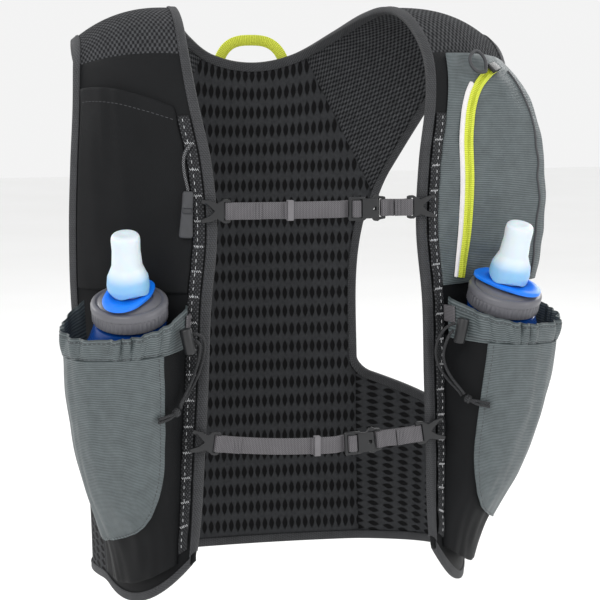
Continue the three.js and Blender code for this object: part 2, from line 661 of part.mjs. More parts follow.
add(
  "zip_piping",
  "reflective",
  sheet(zipStrip(pipingOffset, ZIP_PIPING_WIDTH), ZIP_WALL, ZIP_STRIP_RUNS.slice(0, -3), [0, 1]),
);


// Small helpers for hard parts and cords.
function turnedOut(geometry) {
  const flat = geometry.index ? geometry.toNonIndexed() : geometry;
  const at = flat.getAttribute("position");
  const points = Array.from({ length: at.count }, (_, i) => new THREE.Vector3().fromBufferAttribute(at, i));
  return closed(points, points.map((_, i) => i));
}

const polygon = (points) => points.map(([x, z]) => new THREE.Vector2(x, z));

// A flat plate in the XZ plane, centred in Y.
function plate(outline, holes, wall) {
  const shape = new THREE.Shape(polygon(outline));
  shape.holes = holes.map((hole) => new THREE.Path(polygon(hole)));
  const geometry = new THREE.ExtrudeGeometry(shape, { depth: wall, bevelEnabled: false, curveSegments: 6 });
  return geometry.translate(0, 0, -wall / 2).rotateX(Math.PI / 2);
}

const box = (x0, x1, halfHeight) => [
  [x0, -halfHeight],
  [x1, -halfHeight],
  [x1, halfHeight],
  [x0, halfHeight],
];

// The whole outline of a shape that is the same above and below the X axis.
const bothHalves = (upper) => [...upper, ...upper.map(([x, z]) => [x, -z]).reverse()];

const lathe = (profile, segments) =>
  turnedOut(new THREE.LatheGeometry(polygon(profile), segments).rotateX(Math.PI / 2));

const CORD_SIDES = steps(0, 2 * Math.PI, 8).slice(0, -1);

function tube(points, diameter, stations) {
  const section = new THREE.Shape(
    polygon(CORD_SIDES.map((turn) => [(diameter / 2) * Math.cos(turn), (diameter / 2) * Math.sin(turn)])),
  );
  const extrudePath = new THREE.CatmullRomCurve3(points);
  return turnedOut(new THREE.ExtrudeGeometry(section, { extrudePath, steps: stations }));
}

// A tube that closes on itself through a loop of points.
function loopTube(points, diameter, stations) {
  const path = new THREE.CatmullRomCurve3(points, true);
  const { normals, binormals } = path.computeFrenetFrames(stations, true);
  const corners = steps(0, stations - 1, stations - 1).flatMap((k) =>
    CORD_SIDES.map((turn) =>
      path
        .getPointAt(k / stations)
        .addScaledVector(normals[k], (diameter / 2) * Math.cos(turn))
        .addScaledVector(binormals[k], (diameter / 2) * Math.sin(turn)),
    ),
  );
  const size = CORD_SIDES.length;
  const at = (k, j) => (k % stations) * size + (j % size);
  const faces = steps(0, stations - 1, stations - 1).flatMap((k) =>
    CORD_SIDES.flatMap((_, j) => quad(corners, at(k, j), at(k, j + 1), at(k + 1, j + 1), at(k + 1, j))),
  );
  return closed(corners, faces);
}

const CORD_STEPS = 8;
const cordPoints = (route) => route.map(([x, y, z]) => vector(x, y, z));

// A flat ribbon through stations: a point, the way out of its face and the way across its width.
const RIBBON_CORNERS = [
  [-0.5, -0.5],
  [0.5, -0.5],
  [0.5, 0.5],
  [-0.5, 0.5],
];
const ribbon = (stations, wall, width) =>
  loft(
    stations.map(({ point, out, side }) =>
      RIBBON_CORNERS.map(([o, s]) =>
        point.clone().addScaledVector(out, o * wall).addScaledVector(side, s * width),
      ),
    ),
  );

// Chest straps. Each hangs in front of the edge tapes, on a hook over each daisy chain.
const LAYER = (WEB_WALL + SEAM_GAP) / 2;
const WRAP = HARD_WALL / 2 + SEAM_GAP + WEB_WALL / 2;
const FRAME_HALF = WEB_WIDTH / 2 + SLOT_CLEAR;
const HOOK_OUTLINE = bothHalves([
  [-BAR_HALF, FRAME_HALF + FRAME_EDGE - 0.7],
  [0.6, FRAME_HALF + FRAME_EDGE],
  [BAR_HALF + BAR_SLOT, FRAME_HALF + FRAME_EDGE],
  [HOOK_LENGTH * 0.26, FRAME_HALF + 0.4],
  [HOOK_LENGTH * 0.4, FRAME_HALF - 1.2],
  [HOOK_LENGTH * 0.6, FRAME_HALF + 0.6],
  [HOOK_LENGTH - BAR_HALF - 1, FRAME_HALF + FRAME_EDGE],
  [HOOK_LENGTH - BAR_HALF, FRAME_HALF - 0.4],
  [HOOK_LENGTH * 0.64, FRAME_HALF / 2],
  [HOOK_LENGTH * 0.48, 0.4],
]);
const HOOK_SLOT = box(BAR_HALF, BAR_HALF + BAR_SLOT, FRAME_HALF);

// The adjuster frame, its middle bar at zero, and the plate with the latch window.
const FRAME_IN = MIDDLE_BAR_HALF + BAR_SLOT;
const LATCH_AT = FRAME_IN + BUCKLE_PLATE - LATCH_WINDOW;
const latch = [
  [LATCH_AT - LATCH_WINDOW / 2, -LATCH_WINDOW / 2],
  [LATCH_AT + LATCH_WINDOW / 2, -LATCH_WINDOW / 2],
  [LATCH_AT + LATCH_WINDOW / 2, LATCH_WINDOW / 2],
  [LATCH_AT - LATCH_WINDOW / 2, LATCH_WINDOW / 2],
];
const FRAME_OUTLINE = bothHalves([
  [-FRAME_IN - FRAME_EDGE, FRAME_HALF + FRAME_EDGE - 0.8],
  [-FRAME_IN - FRAME_EDGE + 0.8, FRAME_HALF + FRAME_EDGE],
  [FRAME_IN + 1.5, FRAME_HALF + FRAME_EDGE],
  [FRAME_IN + 3, FRAME_HALF + 0.6],
  [FRAME_IN + BUCKLE_PLATE - 1, FRAME_HALF + 0.6],
  [FRAME_IN + BUCKLE_PLATE, FRAME_HALF - 0.4],
]);
const FRAME_SLOTS = [
  box(-FRAME_IN, -MIDDLE_BAR_HALF, FRAME_HALF),
  box(MIDDLE_BAR_HALF, FRAME_IN, FRAME_HALF + 0.25),
];

// The catch plate behind the frame's plate, with two round ears and a bar for the short webbing.
const CATCH_SLOT = LATCH_AT + LATCH_WINDOW / 2 + 3;
const CATCH_BAR = CATCH_SLOT + BAR_SLOT + BAR_HALF;
const CATCH_OUTLINE = bothHalves([
  [FRAME_IN + 3.5, FRAME_HALF - 0.6],
  [LATCH_AT - 1.6, FRAME_HALF - 0.4],
  [LATCH_AT + 0.4, FRAME_HALF + 2.8],
  [LATCH_AT + 3.4, FRAME_HALF + 3.2],
  [CATCH_SLOT + 0.6, FRAME_HALF + 2],
  [CATCH_BAR + BAR_HALF, FRAME_HALF + 1.4],
]);
const CATCH_DEPTH = HARD_WALL + SEAM_GAP;

// Points round a bar from the back of the strap to its front, bulging towards one side in X.
const wrap = (x, y, half, side) => [
  [x - side * half, y + WRAP],
  ...steps(Math.PI / 10, 0.9 * Math.PI, 4).map((turn) => [
    x + side * (half + SEAM_GAP + WEB_WALL / 2) * power(Math.sin(turn), 0.5),
    y + WRAP * power(Math.cos(turn), 0.5),
  ]),
  [x - side * half, y - WRAP],
];

function chestStrap({ name, run, sag, fold, keeper, buckle, shortFold }) {
  const edge = innerEdge(run);
  const span = edge.point.x;
  const tapeFront = [-TAPE_OUT, TAPE_LEG].map(
    (inward) =>
      edge.point.clone().addScaledVector(edge.inward, inward).addScaledVector(edge.out, BODY_WALL + TAPE_OUT).y,
  );
  const frame = new THREE.Group();
  frame.position.set(0, Math.min(...tapeFront) - SEAM_GAP - HARD_WALL / 2, edge.point.z);
  vest.add(frame);

  const drop = (x) => -sag * (1 - (x / span) ** 2);
  const slope = (x) => (2 * sag * x) / span ** 2;
  const seat = (part, finish, geometry, x, y = 0) => {
    const mesh = add(`${name}_${part}`, finish, geometry);
    frame.add(mesh);
    mesh.position.set(x, y, drop(x));
    mesh.rotation.y = -Math.atan(slope(x));
    return mesh;
  };

  const hookBar = span - HOOK_LENGTH + BAR_HALF + HOOK_OVERLAP;
  const hook = plate(HOOK_OUTLINE, [HOOK_SLOT], HARD_WALL);
  const middle = buckle * span;
  const catchBar = middle + CATCH_BAR;
  seat("hook_left", "black_plastic", turnedOut(hook), hookBar);
  seat("hook_right", "black_plastic", mirrored(turnedOut(hook)), -hookBar);
  seat("buckle_frame", "black_plastic", turnedOut(plate(FRAME_OUTLINE, [...FRAME_SLOTS, latch], HARD_WALL)), middle);
  const catchHoles = [latch, box(CATCH_SLOT, CATCH_SLOT + BAR_SLOT, FRAME_HALF)];
  const catchPlate = plate(CATCH_OUTLINE, catchHoles, HARD_WALL).translate(-CATCH_BAR, 0, 0);
  seat("buckle_catch", "black_plastic", turnedOut(catchPlate), catchBar, CATCH_DEPTH);

  const band = (part, path) => {
    const stations = path.map(([x, y], k) => {
      const [before, after] = [path[Math.max(k - 1, 0)], path[Math.min(k + 1, path.length - 1)]];
      const along = vector(after[0] - before[0], after[1] - before[1], 0).normalize();
      const side = vector(-slope(x), 0, 1).normalize();
      return { point: vector(x, y, drop(x)), out: vector(along.y, -along.x, 0), side };
    });
    const mesh = add(`${name}_${part}`, "webbing", ribbon(stations, WEB_WALL, WEB_WIDTH));
    frame.add(mesh);
  };
  const near = 5;
  const down = -(MIDDLE_BAR_HALF + BAR_SLOT / 2);
  const under = WRAP + LAYER * 2;
  band("web_right", [
    [fold * span, -LAYER],
    [-hookBar + near, -LAYER],
    ...wrap(-hookBar, 0, BAR_HALF, -1).reverse(),
    [-hookBar + near, LAYER],
    [-hookBar * 0.45, LAYER],
    [-hookBar * 0.1, LAYER],
    [middle - FRAME_IN - 9, LAYER],
    [middle - FRAME_IN - 3, under],
    [middle + down + 0.6, under],
    ...wrap(middle, 0, MIDDLE_BAR_HALF, 1),
    [middle + down + 0.35, -WRAP + 0.35],
    [middle + down + 0.05, -HARD_WALL / 2 + 0.3],
    [middle + down, HARD_WALL / 2],
    [middle + down - 0.45, WRAP - 0.25],
    [middle - FRAME_IN, WRAP],
    [middle - FRAME_IN - 3, WRAP],
    [middle - FRAME_IN - 9, -LAYER],
    [keeper * span - KEEPER_LENGTH, -LAYER],
  ]);
  band("web_left", [
    [shortFold * span + SEAM_GAP, -LAYER],
    [hookBar - near, -LAYER],
    ...wrap(hookBar, 0, BAR_HALF, 1).reverse(),
    [hookBar - near, LAYER],
    [catchBar + near, CATCH_DEPTH + LAYER],
    ...wrap(catchBar, CATCH_DEPTH, BAR_HALF, -1),
    [catchBar + near, CATCH_DEPTH - LAYER],
    [shortFold * span - SEAM_GAP, -LAYER + CATCH_DEPTH * 0.3],
  ]);

  const innerRing = [LAYER + WEB_WALL / 2 + SEAM_GAP, WEB_WIDTH / 2 + SEAM_GAP];
  const ring = (extra) => {
    const [y, z] = innerRing.map((half) => half + extra);
    return [[-y, -z], [y, -z], [y, z], [-y, z]];
  };
  const loop = new THREE.Shape(polygon(ring(KEEPER_WALL)));
  loop.holes = [new THREE.Path(polygon(ring(0)))];
  const keeperLoop = new THREE.ExtrudeGeometry(loop, { depth: KEEPER_LENGTH, bevelEnabled: false })
    .rotateX(Math.PI / 2)
    .rotateZ(Math.PI / 2)
    .translate(-KEEPER_LENGTH / 2, 0, 0);
  seat("keeper", "webbing", turnedOut(keeperLoop), keeper * span);
}
CHEST_STRAPS.forEach(chestStrap);

// Grab loop: an arch of webbing over the neckline, its two tails on the outside of the back.
const loopStations = steps(0, Math.PI, 14).map((turn) => {
  const spot = (angle) => {
    const x = LOOP_HALF_SPAN * power(Math.cos(angle), 0.7);
    const neck = back(1, 0.5);
    const rise = (LOOP_TAIL + LOOP_RISE) * Math.abs(Math.sin(angle)) ** 0.9;
    const z = neck.z - LOOP_TAIL + rise;
    const share = 0.5 - x / (2 * backEdge(1).x);
    const run = Math.min(1, 1 + (z - back(1, share).z) / (back(1, share).z - back(0.9, share).z) / 10);
    const out = BODY_WALL + TAPE_OUT + SEAM_GAP + LOOP_WALL / 2 + 0.9;
    return vector(x, back(run, share).y + out, z);
  };
  const along = spot(turn + 0.02).sub(spot(turn - 0.02)).setY(0).normalize();
  return { point: spot(turn), out: vector(0, 1, 0), side: vector(along.z, 0, -along.x) };
});
add("grab_loop", "zip_tape", ribbon(loopStations, LOOP_WALL, LOOP_WIDTH));

// Zipper slider at the top of the zipper, and its cord pull with a moulded grip.
const sliderRow = ZIP_LINE.at(-1);
const liftedZip = (lift) => (run, share) =>
  zipPocket(run, share).addScaledVector(normalOf(zipPocket, run, share), POCKET_WALL + lift);
{
  const out = normalOf(zipPocket, sliderRow.run, sliderRow.share);
  const before = rowAt(ZIP_LINE, sliderRow.run - 0.008);
  const along = onZipPocket(sliderRow.run, sliderRow.share).sub(onZipPocket(before.run, before.share));
  const side = out.clone().cross(along).normalize();
  const slider = add("zip_slider", "black_plastic", new THREE.BoxGeometry(SLIDER_LENGTH, SLIDER_WIDTH, SLIDER_HEIGHT));
  slider.quaternion.setFromRotationMatrix(new THREE.Matrix4().makeBasis(side.clone().cross(out), side, out));
  const lift = ZIP_WALL + 3 * SEAM_GAP + SLIDER_HEIGHT / 2 + 1;
  slider.position.copy(liftedZip(lift)(before.run, before.share));
}
const PULL_LOOP = [
  { run: 0.667, share: 0.428 },
  { run: 0.676, share: 0.405 },
  { run: 0.68, share: 0.34 },
  { run: 0.673, share: 0.25 },
  { run: 0.662, share: 0.235 },
  { run: 0.652, share: 0.29 },
  { run: 0.65, share: 0.38 },
  { run: 0.658, share: 0.414 },
];
const pullPoints = PULL_LOOP.map(({ run, share }) => liftedZip(ZIP_WALL + SLIDER_HEIGHT + 2.4)(run, share));
add("zip_pull", "pull_rubber", loopTube(pullPoints, PULL_CORD, 14));

// Whistle hanging by a short cord from the daisy chain beside the flat pocket.
add("whistle_cord", "cord", tube(cordPoints(WHISTLE_CORD), CORD, CORD_STEPS));
const WHISTLE_LEAN = 0.06;
const whistle = add(
  "whistle",
  "pull_rubber",
  loft(
    [
      { at: 0, width: 0.8, depth: 0.75 },
      { at: 0.06, width: 0.92, depth: 0.95 },
      { at: 0.35, width: 0.94, depth: 1 },
      { at: 0.94, width: 1.18, depth: 0.92 },
      { at: 1, width: 1.1, depth: 0.8 },
    ].map(({ at, width, depth }) =>
      steps(0, 2 * Math.PI, 8)
        .slice(0, -1)
        .map((turn) =>
          vector(
            (width * GRIP_WIDTH * power(Math.cos(turn), 0.6)) / 2,
            (depth * GRIP_WALL * power(Math.sin(turn), 0.6)) / 2,
            -at * GRIP_LENGTH,
          ),
        ),
    ),
  ),
);
whistle.position.set(...WHISTLE_CORD.at(-1)).add(vector(0, 0, -SEAM_GAP - 0.2));
whistle.rotation.y = WHISTLE_LEAN;

// Cord lock at the inner end of each band, its webbing tab, and the draw cord's two strands and knot.
const LOCK_PLACE = { run: 0.318, share: 0.1, lean: 0.2 };
const LOCK_CLEAR = 1.5;
const bandLift = (share) =>
  POCKET_WALL + SEAM_GAP + BAND_WALL + 2 * RUFFLE_DEPTH * power(Math.sin(Math.PI * share), POCKET_ROUND);
const overBand = raised(bottlePocket, (run, share) => bandLift(share) + 2 * SEAM_GAP);
const lockOut = normalOf(bottlePocket, LOCK_PLACE.run, LOCK_PLACE.share);
const lock = new THREE.CylinderGeometry(CORD_LOCK_RADIUS, CORD_LOCK_RADIUS * 0.92, CORD_LOCK_LENGTH, 12)
  .rotateX(Math.PI / 2)
  .rotateY(LOCK_PLACE.lean)
  .translate(...overBand(LOCK_PLACE.run, LOCK_PLACE.share).addScaledVector(lockOut, CORD_LOCK_RADIUS + LOCK_CLEAR));
addPair("cord_lock", "black_plastic", turnedOut(lock));
addPair("draw_cord_a", "cord", tube(cordPoints(DRAW_CORD_A), CORD, CORD_STEPS + 2));
addPair("draw_cord_b", "cord", tube(cordPoints(DRAW_CORD_B), CORD, CORD_STEPS + 2));

// The knot: a round lump with the two cut ends side by side in one flat tail.
const KNOT_SECTIONS = [
  { at: 0, width: 0.4, depth: 0.4 },
  { at: 0.06, width: 0.85, depth: 0.8 },
  { at: 0.18, width: 1, depth: 0.95 },
  { at: 0.3, width: 0.85, depth: 0.8 },
  { at: 0.38, width: 0.68, depth: 0.36 },
  { at: 1, width: 0.68, depth: 0.34 },
];
const knotPath = new THREE.CatmullRomCurve3(cordPoints(KNOT_ROUTE));
const knotShape = loft(
  KNOT_SECTIONS.map(({ at, width, depth }) => {
    const along = knotPath.getTangent(at);
    const side = along.clone().cross(vector(0, 1, 0)).normalize();
    const out = side.clone().cross(along);
    return steps(0, 2 * Math.PI, 8).slice(0, -1).map((turn) =>
      knotPath
        .getPoint(at)
        .addScaledVector(side, width * KNOT_RADIUS * Math.cos(turn))
        .addScaledVector(out, depth * KNOT_RADIUS * Math.sin(turn)),
    );
  }),
);
addPair("cord_knot", "cord", knotShape);

const TAB_WALL = 1.2;
const lockTab = (rise, share) => overBand(0.325 + 0.02 * rise, 0.012 + 0.04 * share);
addPair("lock_tab", "webbing", sheet(lockTab, TAB_WALL, [0, 1], [0, 0.5, 1]));

// Soft flasks: film body, screw cap, lever and bite valve. The film fills the pocket's own section.
const flaskUp = vector(FLASK_OUTWARD, -FLASK_FORWARD, 1).normalize();
const flaskSeat = harness(FLASK_RUN, FLASK_SEAT).addScaledVector(
  normalOf(harness, FLASK_RUN, FLASK_SEAT),
  ON_PANEL + FLASK_STAND,
);
const flaskAcross = harnessChord(FLASK_RUN, 1)
  .sub(harnessChord(FLASK_RUN, 0))
  .projectOnPlane(flaskUp)
  .normalize();
const flaskFront = flaskAcross.clone().cross(flaskUp);

const FILM_SIDES = 16;
const filmTurns = steps(0, 2 * Math.PI, FILM_SIDES).slice(0, -1);

// The film's section in the pocket: bowed in front, nearly flat against the panel.
const filmRing = (run) =>
  filmTurns.map((turn) => {
    const inset = (FILM_CLEAR + 1) / harnessWidth(run);
    const width = bottleOut(run) - pocketIn(run) - 2 * inset;
    const across = pocketIn(run) + inset + width * (0.5 - 0.5 * power(Math.cos(turn), POCKET_SPREAD));
    const bow = power(Math.max(Math.sin(turn), 0), POCKET_ROUND);
    const stand = FILM_CLEAR + Math.max(0, POCKET_BULGE * rowAt(POCKET_DEPTH, run).rise * bow - 2.5 * FILM_CLEAR);
    const flat = Math.sin(turn) < -STEP ? 0.6 : 0;
    return harness(run, across).addScaledVector(normalOf(harness, run, across), ON_PANEL + stand - flat);
  });

// A round ring on the flask's axis, at a height from the middle of its cap.
const neckRing = (radius, height) =>
  filmTurns.map((turn) =>
    flaskSeat
      .clone()
      .addScaledVector(flaskUp, height)
      .addScaledVector(flaskAcross, -radius * Math.cos(turn))
      .addScaledVector(flaskFront, radius * Math.sin(turn)),
  );

const blend = (from, to, share) => from.map((p, k) => p.clone().lerp(to[k], share));
const NECK_RADIUS = CAP_RADIUS - CAP_WALL - NECK_CLEAR;
const CAP_BASE = -CAP_HEIGHT / 2;
const NECK_TOP = CAP_BASE + CAP_CAVITY - SEAM_GAP;
const FILM_RUNS = [0.078, 0.1, 0.14, 0.19, 0.24, 0.295];
const mouthRing = filmRing(FILM_RUNS.at(-1));
const filmShape = loft([
  ...FILM_RUNS.map(filmRing),
  blend(mouthRing, neckRing(NECK_RADIUS + 4, CAP_BASE - 3), 0.8),
  neckRing(NECK_RADIUS + 1, CAP_BASE - 2),
  neckRing(NECK_RADIUS, CAP_BASE - 1),
  neckRing(NECK_RADIUS, NECK_TOP),
]);

const CROWN_TOP = CAP_HEIGHT / 2 + 1.2;
const LEVER_BASE = CROWN_TOP + SEAM_GAP;
const VALVE_BASE = LEVER_BASE + LEVER_WALL + SEAM_GAP;
const SPOUT_TOP = VALVE_BASE + SPOUT_HEIGHT;
const capShape = lathe(
  [
    [0, CAP_BASE + CAP_CAVITY],
    [CAP_RADIUS - CAP_WALL, CAP_BASE + CAP_CAVITY],
    [CAP_RADIUS - CAP_WALL, CAP_BASE],
    [CAP_RADIUS, CAP_BASE],
    [CAP_RADIUS, CAP_HEIGHT / 2 - CAP_CROWN],
    [CAP_RADIUS - 1.8, CAP_HEIGHT / 2],
    [SPOUT_RADIUS, CROWN_TOP],
    [SPOUT_RADIUS, SPOUT_TOP],
    [0, SPOUT_TOP],
  ],
  22,
);

const spoutBore = SPOUT_RADIUS + TURN_GAP;
const leverArc = steps(0, 2 * Math.PI, 24).slice(0, -1);
const leverOutline = leverArc.map((turn) => {
  const tip = Math.abs(Math.cos(turn)) ** 3;
  const radius = LEVER_RADIUS + (LEVER_REACH - LEVER_RADIUS) * tip;
  return [radius * Math.cos(turn), radius * Math.sin(turn)];
});
const leverHole = leverArc.filter((_, k) => k % 2 === 0).map((turn) => {
  const radius = spoutBore / Math.cos(Math.PI / 12);
  return [radius * Math.cos(turn), radius * Math.sin(turn)];
});
const leverShape = plate(leverOutline, [leverHole], LEVER_WALL)
  .rotateX(-Math.PI / 2)
  .translate(0, 0, LEVER_BASE + LEVER_WALL / 2);

const VALVE_PROFILE = [
  { rise: 0, radius: 1 },
  { rise: 0.1, radius: 1.03 },
  { rise: 0.27, radius: 0.98 },
  { rise: 0.36, radius: 0.86 },
  { rise: 0.46, radius: 0.74 },
  { rise: 0.72, radius: 0.68 },
  { rise: 0.95, radius: 0.7 },
  { rise: 1, radius: 0.62 },
];
const CHANNEL = 3;
const valveTop = VALVE_BASE + VALVE_HEIGHT;
const valveShape = lathe(
  [
    [0, valveTop - CHANNEL],
    [CHANNEL, valveTop - CHANNEL],
    [CHANNEL, SPOUT_TOP + SEAM_GAP],
    [spoutBore, SPOUT_TOP + SEAM_GAP],
    [spoutBore, VALVE_BASE],
    ...VALVE_PROFILE.map(({ rise, radius }) => [radius * VALVE_RADIUS, VALVE_BASE + rise * VALVE_HEIGHT]),
    [0, valveTop],
  ],
  16,
);

FLASKS.forEach(({ name, side, lever }) => {
  const flip = vector(side, 1, 1);
  const up = flaskUp.clone().multiply(flip);
  const front = flaskFront.clone().multiply(flip);
  const across = front.clone().cross(up).negate();
  const flask = new THREE.Group();
  flask.position.copy(flaskSeat).multiply(flip);
  flask.quaternion.setFromRotationMatrix(new THREE.Matrix4().makeBasis(across, front.clone().negate(), up));
  vest.add(flask);
  add(`flask_${name}`, "flask_film", side > 0 ? filmShape : mirrored(filmShape));
  flask.add(add(`cap_${name}`, "cap_plastic", capShape));
  const shutOff = add(`lever_${name}`, "lever_plastic", turnedOut(leverShape));
  shutOff.rotation.z = lever;
  flask.add(shutOff);
  flask.add(add(`valve_${name}`, "silicone", valveShape));
});

export default vest;
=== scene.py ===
"""The looks of a running hydration vest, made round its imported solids.

Metres, +Z up. The front faces -Y and the wearer's left is +X. The cloth pieces lie on the same surfaces
as the solids that they replace: a share of the run up the piece and a share of its width give a point.
"""
import math

import bpy
import numpy as np
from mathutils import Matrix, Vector, noise


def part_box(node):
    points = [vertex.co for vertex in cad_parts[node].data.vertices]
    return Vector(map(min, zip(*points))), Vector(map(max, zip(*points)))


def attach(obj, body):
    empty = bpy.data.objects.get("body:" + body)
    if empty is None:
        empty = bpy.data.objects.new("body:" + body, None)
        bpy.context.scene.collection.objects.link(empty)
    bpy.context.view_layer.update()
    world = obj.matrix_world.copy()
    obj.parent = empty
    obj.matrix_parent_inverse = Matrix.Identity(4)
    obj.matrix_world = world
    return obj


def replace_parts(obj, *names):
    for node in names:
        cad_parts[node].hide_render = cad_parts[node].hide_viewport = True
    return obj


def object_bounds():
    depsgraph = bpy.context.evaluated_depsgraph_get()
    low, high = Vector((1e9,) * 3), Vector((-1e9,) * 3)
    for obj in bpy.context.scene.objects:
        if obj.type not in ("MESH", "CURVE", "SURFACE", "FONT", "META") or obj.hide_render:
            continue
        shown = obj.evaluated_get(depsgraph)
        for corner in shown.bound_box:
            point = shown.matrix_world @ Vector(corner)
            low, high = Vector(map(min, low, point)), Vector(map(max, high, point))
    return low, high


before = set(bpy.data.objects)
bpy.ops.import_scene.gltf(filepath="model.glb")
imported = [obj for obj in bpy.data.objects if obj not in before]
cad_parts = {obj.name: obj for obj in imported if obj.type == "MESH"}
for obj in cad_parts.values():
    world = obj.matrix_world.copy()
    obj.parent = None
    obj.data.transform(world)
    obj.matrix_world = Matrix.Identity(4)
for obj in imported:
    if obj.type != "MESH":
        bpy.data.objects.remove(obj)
cad_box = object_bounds()

# Camera. A long lens from in front, a little to the wearer's right and a little above the chest, as the
# photograph was taken.
CAMERA_AZIMUTH = math.radians(-14)
CAMERA_ELEVATION = math.radians(8)
CAMERA_DISTANCE = 1.6
CAMERA_AIM = Vector((0.015, 0.0, -0.228))
CAMERA_LENS = 120

towards_camera = Vector(
    (
        math.sin(CAMERA_AZIMUTH) * math.cos(CAMERA_ELEVATION),
        -math.cos(CAMERA_AZIMUTH) * math.cos(CAMERA_ELEVATION),
        math.sin(CAMERA_ELEVATION),
    )
)
camera = bpy.data.objects.new("camera", bpy.data.cameras.new("camera"))
camera.data.lens = CAMERA_LENS
camera.data.sensor_width = 36
camera.location = CAMERA_AIM + towards_camera * CAMERA_DISTANCE
camera.rotation_euler = (-towards_camera).to_track_quat("-Z", "Y").to_euler()
camera.data.clip_start = 0.05
camera.data.clip_end = 50
bpy.context.scene.collection.objects.link(camera)
bpy.context.scene.camera = camera


# Floor and light. A pale studio floor well below the vest, a big soft light from the upper left, weaker
# ones from the right and from behind, and a pale surround.
def linear(hex_colour):
    """An sRGB hex colour as linear RGBA."""
    parts = [int(hex_colour[k : k + 2], 16) / 255 for k in (0, 2, 4)]
    return (*[p / 12.92 if p <= 0.04045 else ((p + 0.055) / 1.055) ** 2.4 for p in parts], 1.0)


def add_node(tree, kind, inputs=None, **settings):
    """Adds a node with its settings. An input is a value, a socket, or a node whose first output it takes."""
    node = tree.nodes.new(kind)
    for name, value in settings.items():
        setattr(node, name, value)
    for name, value in (inputs or {}).items():
        if isinstance(value, bpy.types.Node):
            value = value.outputs[0]
        if isinstance(value, bpy.types.NodeSocket):
            tree.links.new(value, node.inputs[name])
        else:
            node.inputs[name].default_value = value
    return node


def new_material(name, **shader):
    """A material with its shader's own values. Gives the material, its node tree and its shader."""
    material = bpy.data.materials.new(name)
    material.use_nodes = True
    tree = material.node_tree
    principled = tree.nodes["Principled BSDF"]
    for socket, value in shader.items():
        principled.inputs[socket.replace("_", " ")].default_value = value
    return material, tree, principled


FLOOR_DROP = 0.14
FLOOR_HALF = 6.0

floor_material, floor_tree, floor_shader = new_material("painted_floor", Roughness=0.7)
floor_speckle = add_node(floor_tree, "ShaderNodeTexNoise", {"Scale": 40.0, "Detail": 3.0})
floor_tone = add_node(
    floor_tree,
    "ShaderNodeMix",
    {0: floor_speckle, 6: linear("f4f4f3"), 7: linear("fafafa")},
    data_type="RGBA",
)
floor_tree.links.new(floor_tone.outputs[2], floor_shader.inputs["Base Color"])
bpy.ops.mesh.primitive_plane_add(size=2 * FLOOR_HALF, location=(0, 0, cad_box[0].z - FLOOR_DROP))
floor = bpy.context.object
floor.name = "floor"
floor.data.materials.append(floor_material)

LIGHTS = [
    {"name": "key", "at": (-1.6, -2.2, 1.6), "size": 1.8, "power": 34},
    {"name": "fill", "at": (2.0, -1.6, 0.5), "size": 1.6, "power": 13},
    {"name": "rim_left", "at": (-1.6, 1.4, 0.9), "size": 1.0, "power": 14},
    {"name": "rim_right", "at": (1.7, 1.2, 0.9), "size": 1.0, "power": 16},
]
for light in LIGHTS:
    lamp = bpy.data.objects.new(light["name"], bpy.data.lights.new(light["name"], "AREA"))
    lamp.data.size = light["size"]
    lamp.data.energy = light["power"]
    lamp.location = light["at"]
    lamp.rotation_euler = (CAMERA_AIM - lamp.location).to_track_quat("-Z", "Y").to_euler()
    bpy.context.scene.collection.objects.link(lamp)

world = bpy.data.worlds.new("surround")
world.use_nodes = True
world.node_tree.nodes["Background"].inputs["Color"].default_value = linear("ffffff")
world.node_tree.nodes["Background"].inputs["Strength"].default_value = 0.9
bpy.context.scene.world = world
bpy.context.scene.view_settings.view_transform = "Standard"


# Free cords. Thin round cord, braided from dark and pale polyester threads. A short one carries the
# whistle, and two strands leave each cord lock and end in one knot.
TURN = 2 * math.pi
SIDES = ((1, "left"), (-1, "right"))


def dress(piece, material, body="vest"):
    """The piece rides on a body and takes the material that it is given."""
    piece.data.materials.clear()
    piece.data.materials.append(material)
    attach(piece, body)
    return piece


def put(piece, node, material, body="vest"):
    """The piece stands for a node."""
    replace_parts(dress(piece, material, body), node)
    return piece


def new_mesh(name, points, faces, uvs, sharp=40):
    """A smooth mesh with the places of its points on the cloth, in metres, as its UV map."""
    mesh = bpy.data.meshes.new(name)
    mesh.from_pydata(np.asarray(points).tolist(), [], [list(face) for face in faces])
    loops = np.zeros(len(mesh.loops), np.int32)
    mesh.loops.foreach_get("vertex_index", loops)
    layer = mesh.uv_layers.new(name="cloth")
    layer.uv.foreach_set("vector", np.asarray(uvs, np.float32)[loops].ravel())
    mesh.shade_smooth()
    mesh.set_sharp_from_angle(angle=math.radians(sharp))
    piece = bpy.data.objects.new(name, mesh)
    bpy.context.scene.collection.objects.link(piece)
    return piece


def smooth_path(points, steps):
    """A smooth line through chosen points, with that many steps between each two."""
    p = np.array(points, float)
    before = np.vstack([2 * p[0] - p[1], p[:-2], p[-2:-1]])[: len(p) - 1]
    after = np.vstack([p[2:], 2 * p[-1] - p[-2]])
    t = np.linspace(0, 1, steps, endpoint=False)[None, :, None]
    a, b, c, d = (q[:, None, :] for q in (before, p[:-1], p[1:], after))
    line = b + 0.5 * t * (c - a + t * (2 * a - 5 * b + 4 * c - d + t * (3 * (b - c) + d - a)))
    return np.vstack([line.reshape(-1, 3), p[-1:]])


def unit(v):
    return v / np.linalg.norm(v, axis=-1, keepdims=True)


def lengths(path):
    """How far along the path each of its points lies."""
    return np.concatenate([[0], np.cumsum(np.linalg.norm(np.diff(path, axis=0), axis=1))])


